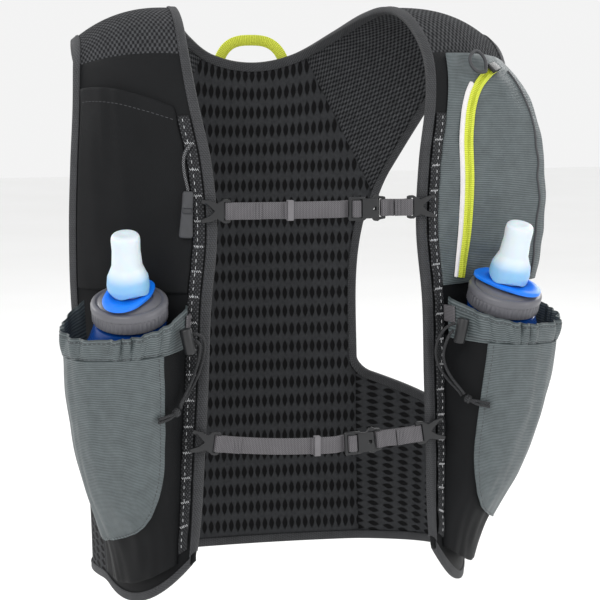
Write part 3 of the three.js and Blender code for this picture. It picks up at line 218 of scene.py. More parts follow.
def tube(name, path, radius, sides=10):
    """A round closed tube along a path."""
    ahead = unit(np.gradient(path, axis=0))
    side = [unit(np.cross(ahead[0], (0.3, 0.2, 0.9)))]
    for k in range(1, len(path)):
        side.append(unit(side[-1] - ahead[k] * np.dot(side[-1], ahead[k])))
    side = np.array(side)
    out = np.cross(ahead, side)
    radii = np.full(len(path), radius) if np.isscalar(radius) else np.asarray(radius)
    turns = np.linspace(0, TURN, sides + 1)
    rings = path[:, None] + radii[:, None, None] * (
        np.cos(turns)[None, :, None] * side[:, None] + np.sin(turns)[None, :, None] * out[:, None]
    )
    return skin(name, rings, lengths(path), turns * float(np.mean(radii)))


def skin(name, rings, along, around, sharp=40, ends=True):
    """A closed mesh through rings whose last point repeats the first, so that the pattern has its seam."""
    rows, size = rings.shape[:2]
    points = rings.reshape(-1, 3)
    uvs = np.stack(np.broadcast_arrays(around[None, :], np.asarray(along)[:, None]), -1).reshape(-1, 2)
    k = (np.arange(rows - 1)[:, None] * size + np.arange(size - 1)).ravel()
    faces = np.stack([k, k + 1, k + size + 1, k + size], 1).tolist()
    if ends:
        faces.append(list(range(size - 2, -1, -1)))
        faces.append([(rows - 1) * size + j for j in range(size - 1)])
    piece = new_mesh(name, points, faces, uvs, sharp)
    weld(piece)
    return piece


def weld(piece):
    """Merges the doubled points of a closed mesh and turns its faces out."""
    bpy.ops.object.select_all(action="DESELECT")
    bpy.context.view_layer.objects.active = piece
    piece.select_set(True)
    bpy.ops.object.mode_set(mode="EDIT")
    bpy.ops.mesh.select_all(action="SELECT")
    bpy.ops.mesh.remove_doubles(threshold=1e-6)
    bpy.ops.mesh.normals_make_consistent(inside=False)
    bpy.ops.object.mode_set(mode="OBJECT")
    piece.select_set(False)


def waves(tree, repeats):
    """The sum of cosine waves over the cloth. Each is given by its repeats in a metre, across and along."""
    place = add_node(tree, "ShaderNodeUVMap", uv_map="cloth")
    total = 0.0
    for across, along in repeats:
        pull = (TURN * across, TURN * along, 0)
        phase = add_node(tree, "ShaderNodeVectorMath", {0: place, 1: pull}, operation="DOT_PRODUCT")
        wave = add_node(tree, "ShaderNodeMath", {0: phase.outputs["Value"]}, operation="COSINE")
        total = add_node(tree, "ShaderNodeMath", {0: wave, 1: total}, operation="ADD")
    return total


def woven(name, repeats, low, high, deep, raised, bump, mottle=0.12, mottle_size=0.012, **shader):
    """A cloth whose threads stand up where its waves are high, with a slow change of tone over it."""
    material, tree, principled = new_material(name, **shader)
    threads = add_node(
        tree,
        "ShaderNodeMapRange",
        {"Value": waves(tree, repeats), "From Min": low, "From Max": high},
        interpolation_type="SMOOTHSTEP",
    )
    place = add_node(tree, "ShaderNodeTexCoord")
    slow = add_node(
        tree,
        "ShaderNodeTexNoise",
        {"Vector": place.outputs["Object"], "Scale": 1 / mottle_size, "Detail": 4.0, "Roughness": 0.65},
    )
    tone = add_node(
        tree,
        "ShaderNodeMapRange",
        {"Value": slow, "From Min": 0.3, "From Max": 0.7, "To Min": 1 - mottle, "To Max": 1 + mottle},
    )
    colour = add_node(
        tree, "ShaderNodeMix", {0: threads, 6: linear(deep), 7: linear(raised)}, data_type="RGBA"
    )
    toned = add_node(
        tree, "ShaderNodeVectorMath", {0: colour.outputs[2], 1: tone}, operation="MULTIPLY"
    )
    tree.links.new(toned.outputs[0], principled.inputs["Base Color"])
    relief = add_node(
        tree, "ShaderNodeBump", {"Height": threads, "Distance": bump, "Strength": 1.0}
    )
    tree.links.new(relief.outputs[0], principled.inputs["Normal"])
    return material


# Braided polyester: two sets of threads cross at 45 degrees, 1 mm apart, or 1.3 mm in the two-tone cord.
braid = woven(
    "braided_polyester", [(700, 700), (700, -700)], -0.4, 1.4, "101113", "4a4b4e", 0.0004, Roughness=0.75
)
pale_braid = woven(
    "braided_two_tone_polyester",
    [(560, 560), (560, -560)],
    -0.2,
    1.1,
    "141517",
    "8e8f92",
    0.0004,
    Roughness=0.75,
)

CORD = 0.0022
KNOT_RADIUS = 0.0034
DRAW_CORD_A = [
    (0.0991, -0.1396, -0.2296),
    (0.0958, -0.1400, -0.2302),
    (0.0923, -0.1386, -0.2326),
    (0.0902, -0.1355, -0.2364),
    (0.0892, -0.1315, -0.2410),
    (0.0889, -0.1276, -0.2460),
    (0.0892, -0.1244, -0.2515),
    (0.0902, -0.1222, -0.2570),
    (0.0918, -0.1215, -0.2623),
    (0.0942, -0.1218, -0.2673),
    (0.0972, -0.1231, -0.2720),
    (0.1004, -0.1250, -0.2763),
    (0.1036, -0.1275, -0.2800),
    (0.1060, -0.1301, -0.2830),
    (0.1072, -0.1324, -0.2856),
]
DRAW_CORD_B = [
    (0.0974, -0.1402, -0.2346),
    (0.0958, -0.1406, -0.2357),
    (0.0944, -0.1398, -0.2380),
    (0.0937, -0.1373, -0.2418),
    (0.0936, -0.1337, -0.2460),
    (0.0937, -0.1302, -0.2505),
    (0.0942, -0.1275, -0.2552),
    (0.0953, -0.1259, -0.2600),
    (0.0968, -0.1257, -0.2647),
    (0.0989, -0.1262, -0.2692),
    (0.1013, -0.1278, -0.2733),
    (0.1038, -0.1297, -0.2770),
    (0.1062, -0.1319, -0.2803),
    (0.1077, -0.1341, -0.2826),
    (0.1082, -0.1355, -0.2840),
]
KNOT_ROUTE = [
    (0.1091, -0.1345, -0.2866),
    (0.1155, -0.1394, -0.2896),
    (0.1255, -0.1444, -0.2916),
]
WHISTLE_CORD = [
    (-0.0936, -0.1112, -0.0956),
    (-0.0958, -0.1118, -0.0970),
    (-0.0975, -0.1121, -0.0989),
    (-0.0987, -0.1123, -0.1011),
    (-0.0995, -0.1125, -0.1035),
    (-0.0999, -0.1127, -0.1060),
    (-0.1001, -0.1129, -0.1085),
    (-0.1001, -0.1132, -0.1110),
    (-0.0999, -0.1135, -0.1135),
    (-0.0996, -0.1138, -0.1160),
    (-0.0992, -0.1141, -0.1185),
    (-0.0987, -0.1144, -0.1210),
    (-0.0982, -0.1147, -0.1235),
    (-0.0977, -0.1149, -0.1260),
    (-0.0972, -0.1151, -0.1285),
]
CORD_STEPS = 5
# The knot: a lump with two turns of cord over it, and two cut ends side by side.
KNOT_SECTIONS = [
    {"at": 0.0, "width": 0.4},
    {"at": 0.05, "width": 0.85},
    {"at": 0.1, "width": 1.0},
    {"at": 0.15, "width": 0.82},
    {"at": 0.2, "width": 1.0},
    {"at": 0.26, "width": 0.9},
    {"at": 0.32, "width": 0.45},
    {"at": 0.36, "width": 0.2},
]
END_SPREAD = 0.0012


def wearer_side(points, side):
    """Points made for the wearer's left, on that side."""
    return np.asarray(points, float) * (side, 1, 1)


for side, side_name in SIDES:
    knot_path = smooth_path(wearer_side(KNOT_ROUTE, side), 24)
    knot_at = np.linspace(0, 1, len(knot_path))
    knot_widths = np.interp(
        knot_at, [s["at"] for s in KNOT_SECTIONS], [s["width"] for s in KNOT_SECTIONS]
    )
    lump = tube(f"knot_{side_name}", knot_path[knot_at < 0.37], KNOT_RADIUS * knot_widths[knot_at < 0.37])
    put(lump, f"cord_knot_{side_name}", braid)
    for sign in (1, -1):
        spread = sign * END_SPREAD * np.clip((knot_at - 0.2) * 2.5, 0, 1)[:, None] * (0, 0, 1)
        tail = tube(f"cord_end_{'ab'[sign < 0]}_{side_name}", (knot_path + spread)[knot_at > 0.25], CORD / 2)
        dress(tail, braid)
    for strand, route in (("a", DRAW_CORD_A), ("b", DRAW_CORD_B)):
        path = smooth_path(wearer_side(route, side), CORD_STEPS)
        cord = tube(f"draw_strand_{strand}_{side_name}", path, CORD / 2)
        put(cord, f"draw_cord_{strand}_{side_name}", braid)

whistle_path = smooth_path(WHISTLE_CORD, CORD_STEPS)
whistle_cord = tube("whistle_strand", whistle_path, CORD / 2)
put(whistle_cord, "whistle_cord", pale_braid)


# Body panels. Each front panel is smooth black stretch cloth, each shoulder strap a dark grey knitted
# mesh, and the back and the side wings a black spacer mesh with rows of oval cells. All are cut flat,
# sewn together and bound with tape.
def columns(names, *rows):
    """A table with named columns, a row for each section."""
    return dict(zip(names.split(), np.array(rows, float).T))


CHEST_HALF = 0.177
CHEST_FRONT = 0.115
CHEST_BACK = 0.110
VEST_DROP = 0.455
BODY_WALL = 0.003
SEAM_GAP = 0.0003
WING_BULGE = 0.025
STEP = 1e-3

# One harness from the front hem over the shoulder to the back seam: its inner and outer edge in shares
# of the body sizes, the bow of each section, and the dip of its middle.
HARNESS = columns(
    "run ix iy iz ox oy oz bow dip",
    (0.0, 0.52, -0.925, -0.893, 0.808, -0.19, -0.966, 0.07, 0.046),
    (0.06, 0.503, -0.948, -0.827, 0.83, -0.243, -0.876, 0.07, 0.018),
    (0.14, 0.492, -0.974, -0.736, 0.876, -0.313, -0.763, 0.07, 0.003),
    (0.25, 0.475, -0.991, -0.598, 0.938, -0.391, -0.607, 0.07, 0.0),
    (0.35, 0.463, -1.0, -0.4725, 0.971, -0.435, -0.4725, 0.07, 0.0),
    (0.45, 0.435, -0.991, -0.352, 0.976, -0.443, -0.352, 0.07, 0.0),
    (0.54, 0.452, -0.957, -0.242, 0.965, -0.435, -0.246, 0.07, 0.0),
    (0.62, 0.497, -0.87, -0.143, 0.951, -0.426, -0.158, 0.07, 0.0),
    (0.69, 0.514, -0.713, -0.0725, 0.942, -0.365, -0.092, 0.07, 0.0),
    (0.755, 0.503, -0.391, -0.02, 0.93, -0.243, -0.062, 0.08, 0.0),
    (0.83, 0.48, 0.0, 0.0, 0.919, 0.0, -0.055, 0.075, 0.0),
    (0.89, 0.435, 0.364, -0.011, 0.878, 0.345, -0.0945, 0.06, 0.0),
    (0.95, 0.35, 0.682, -0.04, 0.763, 0.727, -0.209, 0.035, 0.0),
    (1.0, 0.237, 0.891, -0.0725, 0.6045, 0.982, -0.341, 0.0, 0.0),
)
STRAP_START = 0.69

# The back's side edge from the hem to the strap seam, its bulge and the dip of the neckline.
BACK = columns(
    "run x y z bulge dip",
    (0.0, 0.537, 0.982, -1.0, 0.05, 0.0),
    (0.17, 0.525, 1.0, -0.835, 0.045, 0.0),
    (0.34, 0.52, 1.0, -0.67, 0.035, 0.0),
    (0.55, 0.514, 1.0, -0.495, 0.04, 0.0),
    (0.72, 0.548, 0.991, -0.39, 0.055, 0.0),
    (0.8, 0.6045, 0.982, -0.341, 0.06, 0.0),
    (1.0, 0.237, 0.891, -0.0725, 0.06, 0.022),
)
BACK_SEAM = 0.8
WING_BACK_TOP = 0.34
WING_FRONT_TOP = 0.14


def row_at(table, run):
    """The table's columns at shares of its run, on a smooth curve through its rows."""
    at, run = table["run"], np.asarray(run, float)
    k = np.searchsorted(at[1:-1], run, side="left")
    before, after = np.maximum(k - 1, 0), np.minimum(k + 2, len(at) - 1)
    span = at[k + 1] - at[k]
    t = (run - at[k]) / span
    smooth = {}
    for name, value in table.items():
        leave = (value[k + 1] - value[before]) / (at[k + 1] - at[before]) * span
        arrive = (value[after] - value[k]) / (at[after] - at[k]) * span
        smooth[name] = (
            (2 * t**3 - 3 * t**2 + 1) * value[k]
            + (t**3 - 2 * t**2 + t) * leave
            + (3 * t**2 - 2 * t**3) * value[k + 1]
            + (t**3 - t**2) * arrive
        )
    return smooth


def points(*parts):
    """Points from their three coordinates."""
    return np.stack(np.broadcast_arrays(*parts), -1)


def both(run, share):
    """Two shares as arrays of one shape."""
    return np.broadcast_arrays(np.asarray(run, float), np.asarray(share, float))


def place(x, y, z):
    """A point of the body from shares of the body sizes."""
    return points(x * CHEST_HALF, y * np.where(y < 0, CHEST_FRONT, CHEST_BACK), z * VEST_DROP)


def part_way(start, end, share):
    share = np.asarray(share, float)[..., None]
    return start * (1 - share) + end * share


def harness_chord(run, share):
    row = row_at(HARNESS, run)
    inner, outer = place(row["ix"], row["iy"], row["iz"]), place(row["ox"], row["oy"], row["oz"])
    return part_way(inner, outer, share)


def harness_width(run):
    return np.linalg.norm(harness_chord(run, 1) - harness_chord(run, 0), axis=-1)


def harness(run, share):
    """The harness on the wearer's left, from its inner edge, share 0, to its outer one."""
    run, share = both(run, share)
    row = row_at(HARNESS, run)
    hump = 4 * share * (1 - share)
    rise = harness_chord(run + STEP, 0.5) - harness_chord(run - STEP, 0.5)
    reach = harness_chord(run, 1) - harness_chord(run, 0)
    bow = unit(np.cross(reach, rise)) * (hump * row["bow"] * CHEST_FRONT)[..., None]
    dip = points(0 * hump, 0 * hump, hump * row["dip"] * VEST_DROP)
    return harness_chord(run, share) + bow - dip


def back_edge(run):
    run = np.asarray(run, float)
    row = row_at(BACK, run)
    low = place(row["x"], row["y"], row["z"])
    high = harness_chord(np.ones_like(run), (1 - run) / (1 - BACK_SEAM))
    return np.where((run > BACK_SEAM)[..., None], high, low)


def back(run, share):
    """The back from the wearer's left, share 0, to the right, share 1."""
    run, share = both(run, share)
    row, edge = row_at(BACK, run), back_edge(run)
    side = 1 - 2 * share
    middle = 1 - side**2
    bulge, dip = middle * row["bulge"] * CHEST_BACK, middle * row["dip"] * VEST_DROP
    return points(edge[..., 0] * side, edge[..., 1] + bulge, edge[..., 2] - dip)


def wing(run, share):
    """A wing from the back's edge, run 0, round the side to the front panel, run 1."""
    run, share = both(run, share)
    rear = back_edge(WING_BACK_TOP * share)
    front = harness(WING_FRONT_TOP * share, np.ones_like(share))
    chord = front - rear
    out = unit(points(-chord[..., 1], chord[..., 0], 0 * chord[..., 0]))
    return part_way(rear, front, run) + out * (WING_BULGE * np.sin(math.pi * run))[..., None]


def normal_of(surface, run, share):
    along = surface(run + STEP, share) - surface(run - STEP, share)
    across = surface(run, share + STEP) - surface(run, share - STEP)
    return unit(np.cross(across, along))


def raised(surface, lift):
    """The surface that stands off another one by a distance that may change over it."""

    def above(run, share):
        run, share = both(run, share)
        off = lift(run, share) if callable(lift) else lift
        return surface(run, share) + normal_of(surface, run, share) * (off + 0 * run)[..., None]

    return above


def cloth(name, surface, wall, runs, shares, side=1):
    """A sheet of cloth on a surface, with rounded edges, on the wearer's left or mirrored to the right."""
    run, share = np.meshgrid(runs, shares, indexing="ij")
    inside = surface(run, share)
    thick = (wall(run, share) if callable(wall) else wall) + 0 * run
    outside = inside + normal_of(surface, run, share) * thick[..., None]
    rows, size = run.shape
    across = np.linalg.norm(np.diff(outside, axis=1), axis=-1)
    across = np.hstack([np.zeros((rows, 1)), np.cumsum(across, axis=1)])
    across = across - across[:, -1:] / 2
    along = np.linalg.norm(np.diff(outside[:, size // 2], axis=0), axis=-1)
    along = np.concatenate([[0], np.cumsum(along)])[:, None] + 0 * across
    uv = np.stack([across, along], -1).reshape(-1, 2)

    grid = np.arange(rows * size).reshape(rows, size)
    inner = [np.clip(np.arange(rows), 1, rows - 2), np.clip(np.arange(size), 1, size - 2)]
    loop = np.concatenate([grid[0], grid[1:, -1], grid[-1, -2::-1], grid[-2:0:-1, 0]])
    next_in = grid[inner[0]][:, inner[1]].ravel()[loop]
    flat = [layer.reshape(-1, 3) for layer in (inside, outside)]
    middle = (flat[0] + flat[1]) / 2
    rim = middle[loop] + unit(middle[loop] - middle[next_in]) * thick.ravel()[loop, None] * 0.45
    count = rows * size
    k = grid[:-1, :-1].ravel()
    ring = np.arange(len(loop)) + 2 * count
    turned = np.roll(loop, -1)
    faces = np.vstack(
        [
            np.stack([k, k + size, k + size + 1, k + 1], 1),
            np.stack([k, k + 1, k + size + 1, k + size], 1) + count,
            np.stack([loop, turned, np.roll(ring, -1), ring], 1),
            np.stack([ring, np.roll(ring, -1), turned + count, loop + count], 1),
        ]
    )
    if side < 0:
        faces = faces[:, ::-1]
    every = np.vstack([*flat, rim]) * (side, 1, 1)
    return new_mesh(name, every, faces, np.vstack([uv, uv, uv[loop]]), 60)


# Knitted polyester spacer mesh, matt black: upright oval holes, 6 mm apart across and 15.5 mm along, show
# a darker ground.
spacer_mesh = woven(
    "knitted_spacer_mesh",
    [(167, 0), (0, 64.5)],
    0.0,
    1.0,
    "353638",
    "101011",
    -0.0014,
    mottle=0.22,
    mottle_size=0.003,
    Roughness=0.9,
    Specular_IOR_Level=0.15,
)
# Knitted strap mesh, dark grey with pale flecks: loops 3.6 mm apart.
strap_mesh = woven(
    "knitted_strap_mesh",
    [(280, 140), (280, -140)],
    -1.0,
    1.0,
    "47484a",
    "1c1d1f",
    -0.0005,
    mottle=0.3,
    mottle_size=0.004,
    Roughness=0.9,
    Specular_IOR_Level=0.15,
)
# Smooth woven stretch polyester, near black: a fine twill, drawn coarser than its real 0.3 mm so that it
# shows.
stretch_woven = woven(
    "stretch_twill",
    [(900, 900)],
    -1.0,
    1.0,
    "0f1011",
    "17181a",
    0.0001,
    mottle=0.15,
    mottle_size=0.05,
    Roughness=0.6,
    Specular_IOR_Level=0.14,
)

PANEL_RUNS = np.linspace(0, STRAP_START, 150)
STRAP_RUNS = np.linspace(STRAP_START, 1, 90)
PANEL_SHARES = np.linspace(0, 1, 48)
for side, side_name in SIDES:
    panel = cloth(f"front_cloth_{side_name}", harness, BODY_WALL, PANEL_RUNS, PANEL_SHARES, side)
    put(panel, f"front_panel_{side_name}", stretch_woven)
    strap = cloth(f"strap_cloth_{side_name}", harness, BODY_WALL, STRAP_RUNS, PANEL_SHARES, side)
    put(strap, f"shoulder_strap_{side_name}", strap_mesh)
    wing_cloth = cloth(
        f"wing_cloth_{side_name}", wing, BODY_WALL, np.linspace(0, 1, 60), np.linspace(0, 1, 50), side
    )
    put(wing_cloth, f"side_wing_{side_name}", spacer_mesh)
back_cloth = cloth("back_cloth", back, BODY_WALL, np.linspace(0, 1, 160), np.linspace(0, 1, 90))
put(back_cloth, "back_panel", spacer_mesh)


# Edge tape. Woven polyester binding folded round every cut edge and sewn through with one row of
# stitches.
TAPE_GAP = 0.0003
TAPE_WALL = 0.0009
TAPE_LEG = 0.006
TAPE_OUT = TAPE_GAP + TAPE_WALL
FOLD_SIDES = np.linspace(-math.pi / 2, math.pi / 2, 7)
half_fold = BODY_WALL / 2
# The section: down the outer face, round the fold, and back inside, as (into the panel, out of it).
TAPE_SECTION = np.array(
    [
        (TAPE_LEG, -TAPE_OUT + TAPE_WALL * 0.3),
        (TAPE_LEG - 0.0005, -TAPE_OUT),
        *[
            (-math.cos(t) * (TAPE_OUT + 0.0003), half_fold + math.sin(t) * (half_fold + TAPE_OUT))
            for t in FOLD_SIDES
        ],
        (TAPE_LEG - 0.0005, BODY_WALL + TAPE_OUT),
        (TAPE_LEG, BODY_WALL + TAPE_OUT - TAPE_WALL * 0.3),
        (TAPE_LEG, BODY_WALL + TAPE_GAP),
        (0.0005, BODY_WALL + TAPE_GAP),
        (-TAPE_GAP, half_fold),
        (0.0005, -TAPE_GAP),
        (TAPE_LEG, -TAPE_GAP),
    ]
)
EDGE_IN = 0.1


def edge(surface, run, share, run_in, share_in, side=1):
    """Stations on an edge: their points, the way into the panel and the way out of it."""
    run, share = both(run, share)
    at = surface(run, share)
    inward = unit(surface(run + run_in, share + share_in) - at)
    return np.stack([at, inward, normal_of(surface, run, share)], 1) * (side, 1, 1)


def closed(section):
    """A section whose last point repeats its first."""
    return np.vstack([section, section[:1]])


def edge_tape(name, stations):
    """Tape along stations, with its turns eased where two edges meet."""
    kernel = np.array([1, 2, 3, 2, 1]) / 9
    padded = np.concatenate([stations[:1].repeat(2, 0), stations, stations[-1:].repeat(2, 0)])
    eased = sum(w * padded[k : k + len(stations)] for k, w in enumerate(kernel))
    at, inward, out = eased[:, 0], unit(eased[:, 1]), unit(eased[:, 2])
    section = closed(TAPE_SECTION)
    rings = at[:, None] + section[:, :1] * inward[:, None] + section[:, 1:] * out[:, None]
    return skin(name, rings, lengths(at), lengths(section), 35)


def with_mirror(stations, middle):
    """A path over the left side, the middle, and the same way back over the right side."""
    return np.concatenate([stations, middle, stations[::-1] * (-1, 1, 1)])


# Woven binding tape, dark grey: cross ribs 1.6 mm apart.
binding = woven(
    "woven_binding_tape",
    [(0, 620), (500, 310)],
    -1.2,
    1.6,
    "222325",
    "3a3b3e",
    0.0002,
    mottle=0.2,
    Roughness=0.7,
)
HARNESS_FROM = 0.012
neck_side = edge(harness, np.linspace(HARNESS_FROM, 0.992, 260), 0, 0, EDGE_IN)
neck_back = edge(back, 1, np.linspace(0.03, 0.97, 40), -EDGE_IN, 0)
put(edge_tape("neck_binding", with_mirror(neck_side, neck_back)), "neck_tape", binding)
arm_side = np.concatenate(
    [
        edge(harness, np.linspace(WING_FRONT_TOP + 0.03, 0.99, 240), 1, 0, -EDGE_IN),
        edge(back, np.linspace(BACK_SEAM - 0.01, WING_BACK_TOP + 0.015, 90), 0, 0, EDGE_IN),
        edge(wing, np.linspace(0.03, 0.95, 50), 1, 0, -EDGE_IN),
        edge(harness, np.linspace(WING_FRONT_TOP + 0.006, WING_FRONT_TOP + 0.02, 4), 1, 0, -EDGE_IN),
    ]
)
for side, side_name in SIDES:
    piece = edge_tape(f"arm_binding_{side_name}", arm_side * (side, 1, 1))
    put(piece, f"arm_tape_{side_name}", binding)
hem_side = np.concatenate(
    [
        edge(harness, 0, np.linspace(0.02, 0.98, 60), EDGE_IN / 3, 0),
        edge(wing, np.linspace(0.97, 0.03, 50), 0, 0, EDGE_IN),
    ]
)
hem_back = edge(back, 0, np.linspace(0.02, 0.98, 60), EDGE_IN / 3, 0)
put(edge_tape("hem_binding", with_mirror(hem_side, hem_back)), "hem_tape", binding)


# Threads. One row of polyester thread sews the tape down, and other rows sew pockets and straps. Each
# stitch shows as a short raised bar.
def moulded(name, colour, mottle=0.05, grain=0.0, **shader):
    """A moulded or cast material, with a slight change of tone and a fine grain over it."""
    material, tree, principled = new_material(name, **shader)
    spot = add_node(tree, "ShaderNodeTexCoord")
    slow = add_node(
        tree, "ShaderNodeTexNoise", {"Vector": spot.outputs["Object"], "Scale": 220.0, "Detail": 3.0}
    )
    tone = add_node(
        tree,
        "ShaderNodeMapRange",
        {"Value": slow, "From Min": 0.3, "From Max": 0.7, "To Min": 1 - mottle, "To Max": 1 + mottle},
    )
    toned = add_node(
        tree, "ShaderNodeVectorMath", {0: linear(colour)[:3], 1: tone}, operation="MULTIPLY"
    )
    tree.links.new(toned.outputs[0], principled.inputs["Base Color"])
    fine = add_node(
        tree, "ShaderNodeTexNoise", {"Vector": spot.outputs["Object"], "Scale": 2600.0, "Detail": 2.0}
    )
    relief = add_node(tree, "ShaderNodeBump", {"Height": fine, "Distance": grain, "Strength": 1.0})
    tree.links.new(relief.outputs[0], principled.inputs["Normal"])
    return material


BAR_CORNERS = np.array(
    [
        *[(x, y, -1.0) for x, y in ((-1, -1), (1, -1), (1, 1), (-1, 1))],
        *[(x, y, 1.0) for x, y in ((-0.7, -0.6), (0.7, -0.6), (0.7, 0.6), (-0.7, 0.6))],
    ]
)
BAR_FACES = np.array([(0, 3, 2, 1), (4, 5, 6, 7), (0, 1, 5, 4), (1, 2, 6, 5), (2, 3, 7, 6), (3, 0, 4, 7)])


def bars(name, at, along, out, size, material, side=1):
    """Small bars, such as stitches, joined in one mesh. Size is their length, width and height."""
    at, along, out = (np.asarray(v) * (side, 1, 1) for v in (at, along, out))
    axes = np.stack([unit(along), unit(np.cross(out, along)), unit(out)], 1)
    corners = at[:, None] + np.einsum("ci,nij->ncj", BAR_CORNERS * np.array(size) / 2, axes)
    every = corners.reshape(-1, 3)
    faces = (BAR_FACES[None] + 8 * np.arange(len(at))[:, None, None]).reshape(-1, 4)
    return dress(new_mesh(name, every, faces, every[:, ::2], 30), material)


def spaced(path, pitch, *others):
    """Points at equal steps along a path, the way ahead there, and other values that go with the path."""
    far = lengths(path)
    at = np.arange(pitch / 2, far[-1], pitch)
    every = (path, np.gradient(path, axis=0), *others)
    return [np.stack([np.interp(at, far, values[:, k]) for k in range(3)], 1) for values in every]


def seam(name, path, out, material, side=1, pitch=0.0036, size=(0.0026, 0.0006, 0.0004)):
    """A row of stitches along a path, on the face that looks out."""
    at, ahead, up = spaced(path, pitch, out)
    return bars(name, at, ahead, up, size, material, side)


dark_thread = moulded("dark_polyester_thread", "3c3d40", 0.1, Roughness=0.6)
pale_thread = moulded("pale_polyester_thread", "b9babc", 0.1, Roughness=0.6)
SEAM_IN = TAPE_LEG - 0.0014


def tape_seam(name, stations, side=1):
    path = stations[:, 0] + stations[:, 1] * SEAM_IN + stations[:, 2] * (BODY_WALL + TAPE_OUT)
    return seam(name, path, stations[:, 2], dark_thread, side)


tape_seam("neck_seam", with_mirror(neck_side, neck_back))
tape_seam("hem_seam", with_mirror(hem_side, hem_back))
for side, side_name in SIDES:
    tape_seam(f"arm_seam_{side_name}", arm_side, side)


# Daisy chains. Narrow black webbing flecked with pale threads runs up beside each front edge. Bar tacks
# of pale thread hold it every 15 mm, and it lifts a little between them.
ON_PANEL = BODY_WALL + SEAM_GAP
DAISY_EDGE = TAPE_LEG + 0.0015
DAISY_WIDTH = 0.007
DAISY_WALL = 0.0014
DAISY_LIFT = 0.0011
DAISY_TACKS = 17
DAISY_FROM = 0.03
DAISY_TO = 0.6
DAISY_SEAM = 0.62


def on_harness(run, across, stand):
    """A point that stands off the harness."""
    run, across, stand = np.broadcast_arrays(run, across, stand)
    return harness(run, across) + normal_of(harness, run, across) * stand[..., None]


def daisy(run, share):
    across = (DAISY_EDGE + share * DAISY_WIDTH) / harness_width(run)
    lift = np.abs(np.sin(math.pi * DAISY_TACKS * (run - DAISY_FROM) / (DAISY_TO - DAISY_FROM)))
    return on_harness(run, across, ON_PANEL + DAISY_LIFT * lift)


# Narrow black webbing: crossing ribs 1.9 mm apart, with a few pale threads.
daisy_webbing = woven(
    "narrow_black_webbing",
    [(430, 310), (430, -310)],
    0.2,
    1.9,
    "1d1e20",
    "4a4b4d",
    0.0003,
    mottle=0.3,
    mottle_size=0.004,
    Roughness=0.75,
    Specular_IOR_Level=0.25,
)
TACK_SHARES = (0.12, 0.31, 0.5, 0.69, 0.88)
for side, side_name in SIDES:
    chain = cloth(
        f"daisy_webbing_{side_name}",
        daisy,
        DAISY_WALL,
        np.linspace(DAISY_FROM, DAISY_TO, 12 * DAISY_TACKS + 1),
        np.linspace(0, 1, 8),
        side,
    )
    put(chain, f"daisy_chain_{side_name}", daisy_webbing)
    tack_run, tack_share = np.meshgrid(np.linspace(DAISY_FROM, DAISY_TO, DAISY_TACKS + 1)[1:-1], TACK_SHARES)
    tack_run, tack_share = tack_run.ravel(), tack_share.ravel()
    out = normal_of(daisy, tack_run, tack_share)
    lean = daisy(tack_run + STEP, tack_share + 0.05) - daisy(tack_run, tack_share)
    at = daisy(tack_run, tack_share) + out * (DAISY_WALL + 0.0001)
    bars(f"daisy_tacks_{side_name}", at, lean, out, (0.0022, 0.0006, 0.0006), pale_thread, side)
    chain_rows = np.linspace(DAISY_FROM + 0.004, DAISY_TO - 0.004, 400)
    chain_seam = raised(daisy, DAISY_WALL)(chain_rows, DAISY_SEAM)
    chain_out = normal_of(daisy, chain_rows, DAISY_SEAM)
    seam(f"daisy_seam_{side_name}", chain_seam, chain_out, pale_thread, side, 0.0052)


# Bottle pockets. Smooth black stretch cloth stands off each front panel as a half tube that narrows to
# the hem, a grey ripstop face is sewn over its outer part, and a gathered ripstop channel with a draw
# cord in it closes its mouth.
POCKET_WALL = 0.0014
FACE_WALL = 0.0011
FACE_GAP = 0.0018
BAND_WALL = 0.002
POCKET_CLEAR = 0.002
POCKET_BULGE = 0.059
POCKET_INSET = 0.013
POCKET_ROUND = 0.7
POCKET_SPREAD = 0.85
POCKET_BOTTOM = 0.02
BAND_BOTTOM = 0.303
BAND_TOP = 0.36
BAND_DIP = 0.033
BAND_GATHERS = 13
RUFFLE_DEPTH = 0.0017
POCKET_DEPTH = columns(
    "run rise", (0.0, 0.08), (0.06, 0.28), (0.14, 0.64), (0.21, 0.86), (0.29, 1.0), (0.36, 1.02)
)
# Where the face's inner edge lies across the pocket, up the panel.
FACE_EDGE = columns(
    "run share", (0.07, 0.72), (0.076, 0.5), (0.09, 0.33), (0.13, 0.2), (0.18, 0.165), (0.303, 0.2)
)
FACE_END = 0.93
FACE_SEAM = 0.035


def power(value, exponent):
    return np.sign(value) * np.abs(value) ** exponent


def crumple(spot, size, seed):
    """Soft wrinkles of about that size, from -1 to 1, at places given as rows of points."""
    flat = (spot / size).reshape(-1, 3) + seed
    return np.array([noise.noise(Vector(p)) for p in flat]).reshape(spot.shape[:-1])


def pocket_in(run):
    return (DAISY_EDGE + DAISY_WIDTH + POCKET_CLEAR) / harness_width(run)


def pocket_out(run):
    return 1 - (TAPE_LEG + POCKET_CLEAR) / harness_width(run)


def bottle_out(run):
    return pocket_out(run) - POCKET_INSET / harness_width(run)


def on_pocket_width(run, share):
    return pocket_in(run) + share * (pocket_out(run) - pocket_in(run))


def bottle_pocket(run, share):
    turn = math.pi * share
    spread = 0.5 - 0.5 * power(np.cos(turn), POCKET_SPREAD)
    across = pocket_in(run) + spread * (bottle_out(run) - pocket_in(run))
    stand = POCKET_BULGE * row_at(POCKET_DEPTH, run)["rise"] * power(np.sin(turn), POCKET_ROUND)
    return on_harness(run, across, ON_PANEL + stand)


def soft_pocket(run, share):
    """The pocket with slack folds, deepest at its foot."""
    spot = points(share * 0.16, run * 0.25, 0 * run)
    slack = 0.0011 * np.sin(math.pi * np.clip(share, 0, 1)) * (1.3 - 2 * run)
    return raised(bottle_pocket, slack * crumple(spot, 0.013, 3.0))(run, share)


